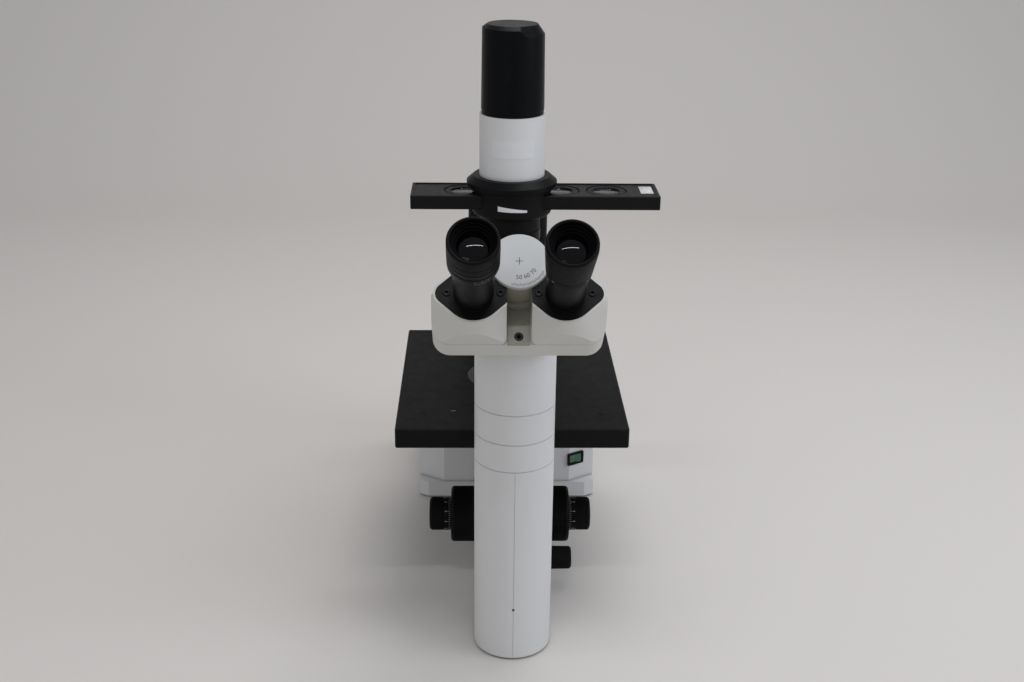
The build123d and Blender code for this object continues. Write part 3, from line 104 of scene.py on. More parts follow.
# Lamp
lamp_radius = 30.46
cap_low = 440.1
cap_skirt = 443.6
cap_top = 520.4
cap_radius = 29.1
cap_radius_top = 28.4
cap_neck = 28.7
cap_bevel = 9.5             # height of the zone that the cap's bevel may take

# Stage
stage_top = 179.3
stage_hole = (81.5, -95.0)
thread_pitch = 0.8
thread_turns = 9
thread_crest = 1.75
thread_root = 2.05
thread_start = -0.6

# Phase slider and its holder
holder_radius = 37.5
slider_floor = 367.0
slider_cells = (-44.4, 0.0, 44.4, 88.8)
cell_radius = 19.3
cell_hole = 11.8
pane_low = 2.4              # the glass panes, measured down from the slider's floor
pane_high = 1.6

# Objectives
seat_reach = 92.727         # from the turret's pivot to an objective's seat
barrel_radius = 11.8
band_radius = 11.2
screw_thread = 8.95
objective_bore = 4.0


def spot(x, y, z):
    """A point of the row frame, from millimetres to metres."""
    return Vector((x, y, z)) * mm


def place_at(origin, across, normal):
    """A matrix from local millimetres to the row frame, by its origin, X and Z directions."""
    z = Vector(normal).normalized()
    x = Vector(across)
    x = (x - z * x.dot(z)).normalized()
    matrix = Matrix((x, z.cross(x), z)).transposed().to_4x4()
    matrix.translation = spot(*origin)
    return matrix @ Matrix.Scale(mm, 4)


def joint_point(name):
    """A joint's place in the row frame, in millimetres."""
    return Vector(joints[name]["pos_m"]) / mm


pivot = joint_point("wing_left_swing")
view_dir = Vector(joints["wing_left_swing"]["axis"]).normalized()
slope_dir = view_dir.cross(Vector((1, 0, 0)))


def head_place(across, along_slope, level):
    """A place on the head: X to the right, Y up its slope, Z towards the eyes."""
    origin = pivot + Vector((across, 0, 0)) + slope_dir * along_slope + view_dir * level
    return place_at(origin, (1, 0, 0), view_dir)


def side_place(joint_name, side):
    """A place on a side knob's axis, Z pointing out to that side from the middle plane."""
    point = joint_point(joint_name)
    return place_at((0, point.y, point.z), (0, 1, 0), (side, 0, 0))


quarter_turn = Matrix.Rotation(math.pi / 2, 4, "Z")


def on_drum(place, turn, radius, height):
    """A place on a turned piece's side, Z pointing outward and X down the axis."""
    around = place @ Matrix.Rotation(turn, 4, "Z") @ Matrix.Translation((radius, 0, height))
    return around @ Matrix.Rotation(math.pi / 2, 4, "Y")


# Mesh making


def rounded(points, radius, loop=False):
    """The profile with each corner turned into a short arc of at most this radius."""
    count = len(points)
    result = []
    for index in range(count):
        here = Vector(points[index])
        at_end = index in (0, count - 1) and not loop
        if at_end or radius <= 0:
            result.append(here)
            continue
        before = Vector(points[index - 1]) - here
        after = Vector(points[(index + 1) % count]) - here
        if before.length < 1e-6 or after.length < 1e-6 or before.angle(after) > math.radians(172):
            result.append(here)
            continue
        reach = min(radius, 0.45 * before.length, 0.45 * after.length)
        start = here + before.normalized() * reach
        stop = here + after.normalized() * reach
        for step in range(4):
            share = step / 3
            first = start.lerp(here, share)
            second = here.lerp(stop, share)
            result.append(first.lerp(second, share))
    return result


def mesh_piece(name, vertices, faces, place, material, body, sharp=32):
    """A mesh object of the row frame, shaded smooth but for its sharp edges."""
    mesh = bpy.data.meshes.new(name)
    mesh.from_pydata([place @ Vector(vertex) for vertex in vertices], [], faces)
    work = bmesh.new()
    work.from_mesh(mesh)
    bmesh.ops.recalc_face_normals(work, faces=work.faces)
    work.to_mesh(mesh)
    work.free()
    mesh.shade_smooth()
    mesh.set_sharp_from_angle(angle=math.radians(sharp))
    mesh.materials.append(material)
    piece = bpy.data.objects.new(name, mesh)
    bpy.context.scene.collection.objects.link(piece)
    if body:
        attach(piece, body)
    return piece


def lathe(name, place, profile, material, body, steps=96, edge=0.4, loop=False, shape=None):
    """A turned piece from points of radius and height; shape bends a ring's radius or height."""
    vertices = []
    rings = []
    for radius, height in rounded(profile, edge, loop):
        if radius < 1e-6:
            rings.append([len(vertices)])
            vertices.append((0, 0, height))
            continue
        ring = []
        for step in range(steps):
            angle = 2 * math.pi * step / steps
            own_radius, own_height = shape(radius, height, angle) if shape else (radius, height)
            ring.append(len(vertices))
            vertices.append((own_radius * math.cos(angle), own_radius * math.sin(angle), own_height))
        rings.append(ring)
    pairs = list(zip(rings, rings[1:]))
    if loop:
        pairs.append((rings[-1], rings[0]))
    faces = []
    for low, high in pairs:
        for step in range(steps):
            after = (step + 1) % steps
            below = (low[step % len(low)], low[after % len(low)])
            above = (high[after % len(high)], high[step % len(high)])
            corners = list(dict.fromkeys(below + above))
            if len(corners) > 2:
                faces.append(corners)
    return mesh_piece(name, vertices, faces, place, material, body)


def ribbed(count, depth, low, high, reach):
    """A shape with rounded grooves along a turned piece, between two heights."""
    def shape(radius, height, angle):
        if low < height < high and radius > reach:
            radius -= depth * (0.5 + 0.5 * math.cos(count * angle)) ** 0.6
        return radius, height
    return shape


def slab(name, place, size, material, body, edge=0.3):
    """A box with rounded edges, centred on its place and standing on it."""
    work = bmesh.new()
    bmesh.ops.create_cube(work, size=1.0)
    bmesh.ops.scale(work, vec=size, verts=work.verts)
    bmesh.ops.translate(work, vec=(0, 0, size[2] / 2), verts=work.verts)
    reach = min(edge, min(size) * 0.45)
    bmesh.ops.bevel(work, geom=work.edges[:], offset=reach, segments=2, affect="EDGES", profile=0.5)
    vertices = [vertex.co.copy() for vertex in work.verts]
    faces = [[vertex.index for vertex in face.verts] for face in work.faces]
    work.free()
    return mesh_piece(name, vertices, faces, place, material, body)


def marks(name, places, size, material, body):
    """Many small strokes in one mesh, each a thin block on its own place: print, and painted highlights on the
    right eyepiece.
    """
    length, width, height = size
    vertices = []
    faces = []
    for place in places:
        first = len(vertices)
        for z in (0, height):
            for x, y in ((-0.5, -0.5), (0.5, -0.5), (0.5, 0.5), (-0.5, 0.5)):
                vertices.append(place @ Vector((x * length, y * width, z)))
        for face in ((3, 2, 1, 0), (4, 5, 6, 7), (0, 1, 5, 4), (1, 2, 6, 5), (2, 3, 7, 6), (3, 0, 4, 7)):
            faces.append([first + corner_shade_share for corner_shade_share in face])
    return mesh_piece(name, vertices, faces, Matrix.Identity(4), material, body)


def digits(name, text, place, height, material, body):
    """A printed number, standing a hair above its place."""
    curve = bpy.data.curves.new(name, "FONT")
    curve.body = text
    curve.size = height * 1.35
    curve.extrude = 0.02
    curve.align_x = "CENTER"
    curve.align_y = "CENTER"
    writing = bpy.data.objects.new(name, curve)
    mesh = bpy.data.meshes.new_from_object(writing)
    bpy.data.objects.remove(writing)
    mesh.transform(place)
    mesh.materials.append(material)
    piece = bpy.data.objects.new(name, mesh)
    bpy.context.scene.collection.objects.link(piece)
    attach(piece, body)
    return piece


def socket_screw(name, place, radius, height, material, body):
    """A cap screw with a rounded head and a hexagonal socket."""
    socket = radius * 0.52
    depth = height * 0.75

    def shape(ring_radius, ring_height, angle):
        if ring_radius <= socket:
            turn = (angle + math.pi / 6) % (math.pi / 3) - math.pi / 6
            ring_radius = socket * 0.9 / math.cos(turn)
        return ring_radius, ring_height

    profile = [
        (radius, 0),
        (radius, height - 0.25),
        (radius - 0.3, height),
        (socket + 0.12, height),
        (socket, height - 0.15),
        (socket, height - depth),
        (0, height - depth - 0.2),
    ]
    return lathe(name, place, profile, material, body, steps=48, edge=0.0, shape=shape)


# Materials


def node_links(material):
    """A material's nodes, links and main shader."""
    material.use_nodes = True
    tree = material.node_tree
    return tree.nodes, tree.links, tree.nodes["Principled BSDF"]


def noise(tree_nodes, links, size, detail=3.0, roughness=0.55):
    """A noise of the object's own space, by the size of its spots in millimetres."""
    coordinates = tree_nodes.new("ShaderNodeTexCoord")
    texture = tree_nodes.new("ShaderNodeTexNoise")
    texture.inputs["Scale"].default_value = 1.0 / (size * mm)
    texture.inputs["Detail"].default_value = detail
    texture.inputs["Roughness"].default_value = roughness
    links.new(coordinates.outputs["Object"], texture.inputs["Vector"])
    return texture.outputs["Fac"]


def spread(tree_nodes, links, source, low, high, from_low=0.3, from_high=0.7):
    """Maps a noise to a range."""
    remap = tree_nodes.new("ShaderNodeMapRange")
    remap.inputs["From Min"].default_value = from_low
    remap.inputs["From Max"].default_value = from_high
    remap.inputs["To Min"].default_value = low
    remap.inputs["To Max"].default_value = high
    links.new(source, remap.inputs["Value"])
    return remap.outputs["Result"]


def blended(tree_nodes, links, factor, first, second):
    """Mixes two colours, or sockets of colour, by a factor."""
    mix = tree_nodes.new("ShaderNodeMix")
    mix.data_type = "RGBA"
    links.new(factor, mix.inputs["Factor"])
    for socket, value in ((mix.inputs[6], first), (mix.inputs[7], second)):
        if isinstance(value, tuple):
            socket.default_value = (*value, 1)
        else:
            links.new(value, socket)
    return mix.outputs[2]


def finish(name, colour, roughness, mottle=0.04, mottle_size=35.0, gloss_spread=0.05, grain=0.0,
           grain_size=0.5, edge_round=0.35, shine=0.5, worn=None, specks=None, painted_corner_shade=None):
    """A surface finish: colour and gloss that vary a little, a fine grain, rounded edges,
    and where asked for, worn edges, dust specks and painted shade in the corners."""
    material = bpy.data.materials.new(name)
    tree_nodes, links, shader = node_links(material)
    shader.inputs["Specular IOR Level"].default_value = shine
    broad = noise(tree_nodes, links, mottle_size)
    shade = spread(tree_nodes, links, broad, 0.0, 1.0)
    dark = tuple(channel * (1 - mottle) for channel in colour)
    light = tuple(min(1.0, channel * (1 + mottle)) for channel in colour)
    tone = blended(tree_nodes, links, shade, dark, light)

    # Painted shade: the colour darkens where nearby surfaces close in, as in corners and seams
    if painted_corner_shade:
        hidden = tree_nodes.new("ShaderNodeAmbientOcclusion")
        hidden.inputs["Distance"].default_value = 5 * mm
        hidden.samples = 6
        corner_shade_share = spread(tree_nodes, links, hidden.outputs["AO"], 1.0, 0.0, 0.25, 0.85)
        tone = blended(tree_nodes, links, corner_shade_share, tone, painted_corner_shade)

    edge = tree_nodes.new("ShaderNodeBevel")
    edge.samples = 6
    edge.inputs["Radius"].default_value = edge_round * mm
    if worn:
        geometry = tree_nodes.new("ShaderNodeNewGeometry")
        compare = tree_nodes.new("ShaderNodeVectorMath")
        compare.operation = "DOT_PRODUCT"
        links.new(edge.outputs["Normal"], compare.inputs[0])
        links.new(geometry.outputs["Normal"], compare.inputs[1])
        bare = spread(tree_nodes, links, compare.outputs["Value"], 1.0, 0.0, 0.86, 0.985)
        patchy = spread(tree_nodes, links, noise(tree_nodes, links, 4.0, 6.0), 0.0, 0.8, 0.42, 0.62)
        both = tree_nodes.new("ShaderNodeMath")
        both.operation = "MULTIPLY"
        links.new(bare, both.inputs[0])
        links.new(patchy, both.inputs[1])
        tone = blended(tree_nodes, links, both.outputs["Value"], tone, worn)
    if specks:
        dust = noise(tree_nodes, links, 0.9, 2.0)
        fleck = spread(tree_nodes, links, dust, 0.0, 0.55, 0.735, 0.80)
        tone = blended(tree_nodes, links, fleck, tone, specks)
    links.new(tone, shader.inputs["Base Color"])

    gloss = noise(tree_nodes, links, mottle_size * 0.35, 4.0)
    low = max(0.02, roughness - gloss_spread)
    links.new(spread(tree_nodes, links, gloss, low, roughness + gloss_spread), shader.inputs["Roughness"])
    if grain > 0:
        bump = tree_nodes.new("ShaderNodeBump")
        bump.inputs["Distance"].default_value = grain * mm
        bump.inputs["Strength"].default_value = 1.0
        links.new(noise(tree_nodes, links, grain_size, 3.0), bump.inputs["Height"])
        links.new(edge.outputs["Normal"], bump.inputs["Normal"])
        links.new(bump.outputs["Normal"], shader.inputs["Normal"])
    else:
        links.new(edge.outputs["Normal"], shader.inputs["Normal"])
    return material


def metal(name, colour, roughness, mottle=0.05, grain=0.004, grain_size=0.5):
    """A bare or plated metal."""
    material = finish(name, colour, roughness, mottle=mottle, grain=grain, grain_size=grain_size)
    material.node_tree.nodes["Principled BSDF"].inputs["Metallic"].default_value = 1.0
    return material


def glass(name, colour, coating):
    """Clear optical glass with a coloured coating."""
    material = bpy.data.materials.new(name)
    tree_nodes, links, shader = node_links(material)
    tone = blended(tree_nodes, links, noise(tree_nodes, links, 8.0), colour,
                   tuple(channel * 0.94 for channel in colour))
    links.new(tone, shader.inputs["Base Color"])
    shader.inputs["Roughness"].default_value = 0.02
    shader.inputs["IOR"].default_value = 1.52
    shader.inputs["Transmission Weight"].default_value = 1.0
    shader.inputs["Specular Tint"].default_value = (*coating, 1)
    return material


def collar_shade(material, tone, radius):
    """Give a wing the middle strip's colour where it hugs the hub, within a radius of its axis."""
    tree_nodes, links, shader = node_links(material)
    place = tree_nodes.new("ShaderNodeTexCoord")
    away = tree_nodes.new("ShaderNodeVectorMath")
    away.operation = "SUBTRACT"
    away.inputs[1].default_value = pivot * mm
    links.new(place.outputs["Object"], away.inputs[0])
    across = tree_nodes.new("ShaderNodeVectorMath")
    across.operation = "CROSS_PRODUCT"
    across.inputs[1].default_value = view_dir
    links.new(away.outputs["Vector"], across.inputs[0])
    reach = tree_nodes.new("ShaderNodeVectorMath")
    reach.operation = "LENGTH"
    links.new(across.outputs["Vector"], reach.inputs[0])
    inside = spread(tree_nodes, links, reach.outputs["Value"], 1.0, 0.0, (radius - 0.2) * mm, radius * mm)
    painted = shader.inputs["Base Color"].links[0].from_socket
    links.new(blended(tree_nodes, links, inside, painted, tone), shader.inputs["Base Color"])


strip_tone = (0.27, 0.262, 0.215)
# The white and warm paints carry painted shade in their corners and seams
white_paint = finish("white_paint", (0.64, 0.645, 0.655), 0.42, mottle=0.015, mottle_size=60,
                     grain=0.006, grain_size=0.7, painted_corner_shade=(0.30, 0.295, 0.28))
warm_paint = finish("warm_paint", (0.58, 0.57, 0.545), 0.45, mottle=0.02, mottle_size=50,
                    grain=0.006, grain_size=0.7, painted_corner_shade=(0.24, 0.23, 0.21))
wing_paint = finish("wing_paint", (0.58, 0.57, 0.545), 0.45, mottle=0.02, mottle_size=50,
                    grain=0.006, grain_size=0.7)
collar_shade(wing_paint, strip_tone, hub_collar)
dial_paint = finish("dial_paint", (0.47, 0.48, 0.49), 0.40, mottle=0.015, mottle_size=40,
                    grain=0.003, grain_size=0.7)
black_paint = finish("black_paint", (0.0048, 0.0048, 0.0053), 0.5, mottle=0.12, mottle_size=25,
                     grain=0.02, grain_size=0.45, shine=0.11, worn=(0.05, 0.05, 0.05),
                     specks=(0.06, 0.06, 0.058))
bar_paint = finish("bar_paint", (0.0042, 0.0042, 0.0052), 0.40, mottle=0.10, mottle_size=25,
                   grain=0.012, grain_size=0.4, shine=0.16, worn=(0.05, 0.05, 0.05),
                   specks=(0.06, 0.06, 0.058))
black_metal = finish("black_metal", (0.0036, 0.0038, 0.0045), 0.38, mottle=0.10, mottle_size=18,
                     grain=0.006, grain_size=0.35, shine=0.10, worn=(0.045, 0.045, 0.05))
black_plastic = finish("black_plastic", (0.0026, 0.0031, 0.0042), 0.34, mottle=0.10, mottle_size=22,
                       grain=0.010, grain_size=0.35, shine=0.10, specks=(0.04, 0.04, 0.04))
grip_rubber = finish("grip_rubber", (0.0030, 0.0030, 0.0035), 0.52, mottle=0.15, mottle_size=9,
                     grain=0.012, grain_size=0.3, shine=0.09, specks=(0.045, 0.045, 0.043))
foot_rubber = finish("foot_rubber", (0.012, 0.012, 0.012), 0.75, mottle=0.15, grain=0.02, shine=0.2)
cup_black = finish("cup_black", (0.0014, 0.0014, 0.0017), 0.6, mottle=0.1, shine=0.05)
screw_black = metal("screw_black", (0.018, 0.018, 0.020), 0.42, grain=0.002)
dull_metal = metal("dull_metal", (0.36, 0.35, 0.31), 0.42)
bright_metal = metal("bright_metal", (0.70, 0.70, 0.69), 0.22, grain=0.002)
dark_metal = metal("dark_metal", (0.045, 0.045, 0.05), 0.38, grain=0.002)
grey_insert = finish("grey_insert", (0.040, 0.040, 0.041), 0.40, mottle=0.10, grain=0.006, shine=0.3)
strip_metal = finish("strip_metal", strip_tone, 0.45, mottle=0.05, mottle_size=12, grain=0.004)
white_print = finish("white_print", (0.62, 0.62, 0.62), 0.55, mottle=0.05)
grey_print_and_highlight = finish("grey_print_and_highlight", (0.22, 0.22, 0.22), 0.55, mottle=0.05)
black_print = finish("black_print", (0.02, 0.02, 0.022), 0.5, mottle=0.05)
paper = finish("paper", (0.66, 0.67, 0.69), 0.6, mottle=0.02, mottle_size=6, grain=0.004)
clear_glass = glass("clear_glass", (0.93, 0.95, 0.97), (0.80, 0.75, 1.0))
# The eye lenses are opaque near-black: painted shade, standing for the dark inside of the eyepiece seen through
# the glass
lens_with_painted_shade = finish("lens_with_painted_shade", (0.0012, 0.0010, 0.0022), 0.04, mottle=0.1, gloss_spread=0.01,
                   edge_round=0.1, shine=0.2)
worn_paper = finish("worn_paper", (0.50, 0.50, 0.505), 0.6, mottle=0.25, mottle_size=3, grain=0.004)
green_lens = finish("green_lens", (0.06, 0.135, 0.090), 0.28, mottle=0.03, mottle_size=8)
mirror_face = metal("mirror_face", (0.85, 0.86, 0.87), 0.04, grain=0.0)
case_metal = metal("case_metal", (0.45, 0.45, 0.44), 0.38)

slot_finishes = {
    "white_cover": white_paint,
    "white_enamel": white_paint,
    "black_enamel": black_paint,
    "black_plastic": black_plastic,
    "bare_aluminium": dull_metal,
    "bright_steel": bright_metal,
    "lens_glass": clear_glass,
    "mirror_glass": mirror_face,
    "green_lens": green_lens,
    "foot_rubber": foot_rubber,
    "supply_case": case_metal,
}
node_finishes = {
    "stage_insert": grey_insert,
    "head_hub": strip_metal,
    "head_base": warm_paint,
    "wing_left": wing_paint,
    "wing_right": wing_paint,
    "interpupillary_dial": dial_paint,
    "eye_lens_left": lens_with_painted_shade,
    "eye_lens_right": lens_with_painted_shade,
    "eyepiece_tube_left": black_metal,
    "eyepiece_tube_right": black_metal,
    "lamp_flange": black_metal,
    "phase_slider": bar_paint,
}
for entry in frame["record"]["subparts"]:
    node = nodes[entry["node"]]
    node.data.materials.clear()
    node.data.materials.append(node_finishes.get(entry["node"], slot_finishes[entry["material_slot"]]))


# Focus knobs


def coarse_knob(side, word):
    """A coarse focus knob: a finely fluted drum with a rounded edge and a turned face."""
    profile = [
        (knob_shaft, coarse_low),
        (coarse_radius - 1.0, coarse_low),
        (coarse_radius, coarse_low + 1.0),
        (coarse_radius, coarse_low + 1.6),
        (coarse_radius, coarse_end - 3.4),
        (coarse_radius, coarse_end - 2.6),
        (coarse_radius - 0.8, coarse_end - 0.8),
        (coarse_radius - 2.6, coarse_end),
        (fine_radius + 3.2, coarse_end),
        (fine_radius + 2.2, coarse_end - 1.2),
        (knob_shaft, coarse_end - 1.2),
    ]
    flutes = ribbed(108, 0.28, coarse_low + 1.2, coarse_end - 3.0, coarse_radius - 0.5)
    place = side_place("coarse_focus", side)
    knob = lathe(f"coarse_grip_{word}", place, profile, grip_rubber, "coarse", steps=648,
                 edge=0.5, loop=True, shape=flutes)
    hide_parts(f"coarse_knob_{word}")


def fine_knob(side, word):
    """A fine focus knob: a plain ring with a scale, a fluted grip and a dished face."""
    ring_end = coarse_end + 7.8
    place = side_place("coarse_focus", side)
    profile = [
        (3.0, coarse_end + 0.5),
        (fine_radius, coarse_end + 0.5),
        (fine_radius, ring_end - 0.6),
        (fine_radius - 0.5, ring_end - 0.3),
        (fine_radius - 0.1, ring_end + 0.2),
        (fine_radius, ring_end + 0.5),
        (fine_radius, fine_end - 3.0),
        (fine_radius, fine_end - 2.4),
        (fine_radius - 0.8, fine_end - 0.8),
        (fine_radius - 2.6, fine_end),
        (fine_radius - 4.6, fine_end),
        (fine_radius - 5.2, fine_end - 0.8),
        (0, fine_end - 1.0),
    ]
    flutes = ribbed(80, 0.22, ring_end + 0.3, fine_end - 2.6, fine_radius - 0.5)
    knob = lathe(f"fine_grip_{word}", place, profile, grip_rubber, "fine", steps=480,
                 edge=0.4, shape=flutes)
    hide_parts(f"fine_knob_{word}")
    strokes = []
    long_strokes = []
    scale_count = 50
    for number in range(scale_count):
        turn = 2 * math.pi * number / scale_count
        if number % 5 == 0:
            long_strokes.append(on_drum(place, turn, fine_radius, coarse_end + 2.2))
        else:
            strokes.append(on_drum(place, turn, fine_radius, coarse_end + 1.6))
    marks(f"fine_scale_{word}", strokes, (1.6, 0.22, 0.03), white_print, "fine")
    marks(f"fine_scale_long_{word}", long_strokes, (2.8, 0.26, 0.03), white_print, "fine")
    for number in range(10):
        turn = 2 * math.pi * number / 10
        writing = on_drum(place, turn, fine_radius, ring_end - 2.8) @ quarter_turn
        digits(f"fine_number_{word}_{number}", str(number), writing, 2.2, white_print, "fine")


for side, word in ((-1, "left"), (1, "right")):
    coarse_knob(side, word)
    fine_knob(side, word)


def brightness_knob():
    """The light control's knob: fluted, slightly tapered, with a pointer line."""
    place = side_place("brightness_turn", 1)
    profile = [
        (0, light_foot),
        (3.0, light_foot),
        (3.0, light_skirt),
        (light_radius - 0.9, light_skirt),
        (light_radius, light_skirt + 2.1),
        (light_radius, light_skirt + 2.9),
        (light_radius - 0.25, light_end - 2.4),
        (light_radius - 0.35, light_end - 1.8),
        (light_radius - 1.7, light_end),
        (light_radius - 3.4, light_end),
        (light_radius - 4.0, light_end - 0.5),
        (0, light_end - 0.7),
    ]
    flutes = ribbed(36, 0.35, light_skirt + 2.5, light_end - 2.1, light_radius - 1.0)
    knob = lathe("brightness_grip", place, profile, grip_rubber, "brightness", steps=288,
                 edge=0.5, shape=flutes)
    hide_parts("brightness_knob")
    line = place @ Matrix.Translation((6.0, 0, light_end - 0.6))
    marks("brightness_pointer", [line], (4.0, 0.7, 0.06), white_print, "brightness")


brightness_knob()


# Eyepieces


def eyecup_profile(top):
    """An eyecup from its outer edge over the rim and down its inner steps to the lens seat."""
    return [
        (grip_radius - 0.2, top - 1.5),
        (grip_radius - 0.9, top - 0.3),
        (grip_radius - 1.6, top),
        (grip_radius - 2.3, top - 0.3),
        (grip_radius - 2.9, top - 1.4),
        (grip_radius - 3.1, top - 4.2),
        (grip_radius - 4.1, top - 4.8),
        (grip_radius - 4.3, top - 6.6),
        (grip_radius - 5.6, top - 7.4),
        (grip_radius - 6.0, top - 8.8),
        (cup_bore, top - 9.0),
        (cup_bore, top - cup_depth),
    ]


def cup_liner(word, place, top, body):
    """The dull black inside of an eyecup, and the domed lens at its floor, painted black for the shade inside the
    eyepiece.
    """
    steps_down = eyecup_profile(top)[4:-1]
    inside = [(radius - 0.12, height + 0.05) for radius, height in steps_down]
    outside = [(radius + 0.1, height - 0.1) for radius, height in reversed(inside)]
    lathe(f"cup_liner_{word}", place, inside + outside, cup_black, body, steps=96, edge=0.0, loop=True)
    seat = top - cup_depth
    dome = [(0, seat), (lens_radius, seat), (lens_radius, seat + lens_edge)]
    dome_rings = 24
    for step in range(1, dome_rings + 1):
        share = 1 - step / dome_rings
        dome.append((lens_radius * share, seat + lens_edge + lens_sag * (1 - share * share)))
    lens = lathe(f"eye_dome_{word}", place, dome, lens_with_painted_shade, body, steps=144, edge=0.0)
    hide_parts(f"eye_lens_{word}")


def left_eyepiece():
    """The focusing eyepiece: a sleeve, a knurled ring with a scale, and a top with its cup."""
    place = head_place(-eye_x, -eye_drop, 0)
    web = left_rim - cup_depth
    sleeve = [
        (tube_bore, tube_low),
        (tube_outer, tube_low),
        (tube_outer, left_end),
        (15.3, left_end),
        (17.2, left_end + 2.0),
        (17.2, ring_low - 0.3),
        (16.0, ring_low - 0.3),
        (16.0, web - 0.5),
        (14.0, web - 0.5),
        (14.0, ring_low),
        (tube_bore, left_end),
    ]
    piece = lathe("left_sleeve", place, sleeve, black_metal, "wing_left", edge=0.3, loop=True)
    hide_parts("eyepiece_left")
    ring = [
        (top_bore, ring_low),
        (grip_radius - 0.5, ring_low),
        (grip_radius, ring_low + 0.5),
        (grip_radius, ring_low + 6.7),
        (grip_radius - 0.35, ring_low + 7.0),
        (grip_radius - 0.35, ring_low + 7.5),
        (grip_radius, ring_low + 7.8),
        (grip_radius, ring_low + 8.2),
        (grip_radius, ring_high - 0.9),
        (grip_radius, ring_high - 0.5),
        (grip_radius - 0.5, ring_high),
        (top_bore, ring_high),
    ]
    knurl = ribbed(90, 0.25, ring_low + 8.0, ring_high - 0.7, grip_radius - 0.2)
    piece = lathe("left_ring", place, ring, black_plastic, "diopter", steps=540, edge=0.25,
                  loop=True, shape=knurl)
    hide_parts("diopter_ring")
    top = [
        (top_bore, ring_high + 0.3),
        (grip_radius - 0.4, ring_high + 0.3),
        (grip_radius, ring_high + 0.7),
        (grip_radius, web),
        (grip_radius - 0.3, web + 0.4),
        (grip_radius, web + 0.8),
    ]
    top += eyecup_profile(left_rim) + [(top_bore, web)]
    cup_liner("left", place, left_rim, "ocular_left")
    piece = lathe("left_top", place, top, grip_rubber, "ocular_left", edge=0.3, loop=True)
    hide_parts("eyepiece_top_left")
    scale_middle = -56
    scale_step = 5
    strokes = []
    for number in range(-6, 7):
        turn = math.radians(scale_middle + number * scale_step)
        strokes.append(on_drum(place, turn, grip_radius, ring_low + 1.6))
    marks("left_ring_scale", strokes, (1.4, 0.22, 0.03), grey_print_and_highlight, "diopter")
    for number, text in ((-6, "3"), (-3, "2"), (0, "0"), (3, "2"), (6, "3")):
        turn = math.radians(scale_middle + number * scale_step)
        writing = on_drum(place, turn, grip_radius, ring_low + 4.2) @ quarter_turn
        digits(f"left_ring_number_{number + 6}", text, writing, 1.9, grey_print_and_highlight, "diopter")


def right_eyepiece():
    """The fixed eyepiece: a body that widens evenly up to its cup."""
    place = head_place(eye_x, -eye_drop, 0)
    body = [
        (tube_bore, tube_low),
        (tube_outer, tube_low),
        (tube_outer, right_end),
        (right_low_radius - 0.8, right_end),
        (right_low_radius, right_end + 1.5),
        (right_low_radius + 0.55, right_end + 10.0),
        (right_low_radius + 0.30, right_end + 10.4),
        (right_low_radius + 0.60, right_end + 10.8),
        (grip_radius, right_rim - 7.2),
    ]
    body += eyecup_profile(right_rim)
    cup_liner("right", place, right_rim, "wing_right")
    body += [(14.0, right_rim - cup_depth), (14.0, right_end + 12.0), (tube_bore, right_end)]
    piece = lathe("right_body", place, body, grip_rubber, "wing_right", edge=0.35, loop=True)
    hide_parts("eyepiece_right")
    # Two small grey patches low on the widening body are painted highlights
    spots = []
    for turn in (-134, -44):
        highlight_place = place @ Matrix.Rotation(math.radians(turn), 4, "Z")
        highlight_place = highlight_place @ Matrix.Translation((right_low_radius + 0.35, 0, right_end + 7.0))
        spots.append(highlight_place @ Matrix.Rotation(math.radians(86), 4, "Y"))
    marks("right_painted_highlights", spots, (1.0, 2.0, 0.12), grey_print_and_highlight, "wing_right")


def inner_lens(side, body):
    """A second lens and its dark cell, deeper in an eyepiece."""
    word = "left" if side < 0 else "right"
    place = head_place(side * eye_x, -eye_drop, 0)
    cell = [(9.0, 138.0), (13.8, 150.0), (11.9, 152.0), (10.5, 152.0), (10.2, 150.6), (8.0, 138.0)]
    lathe(f"inner_cell_{word}", place, cell, black_metal, body, steps=64, edge=0.2, loop=True)
    # This lens is painted dark in the same way, as shade rather than clear glass
    lens = [(0, 148.6), (10.2, 149.6), (10.3, 151.4), (6.0, 152.8), (0, 153.3)]
    piece = lathe(f"inner_lens_{word}", place, lens, lens_with_painted_shade, body, steps=64, edge=0.3)


left_eyepiece()
right_eyepiece()
inner_lens(-1, "wing_left")
inner_lens(1, "wing_right")


# Head details


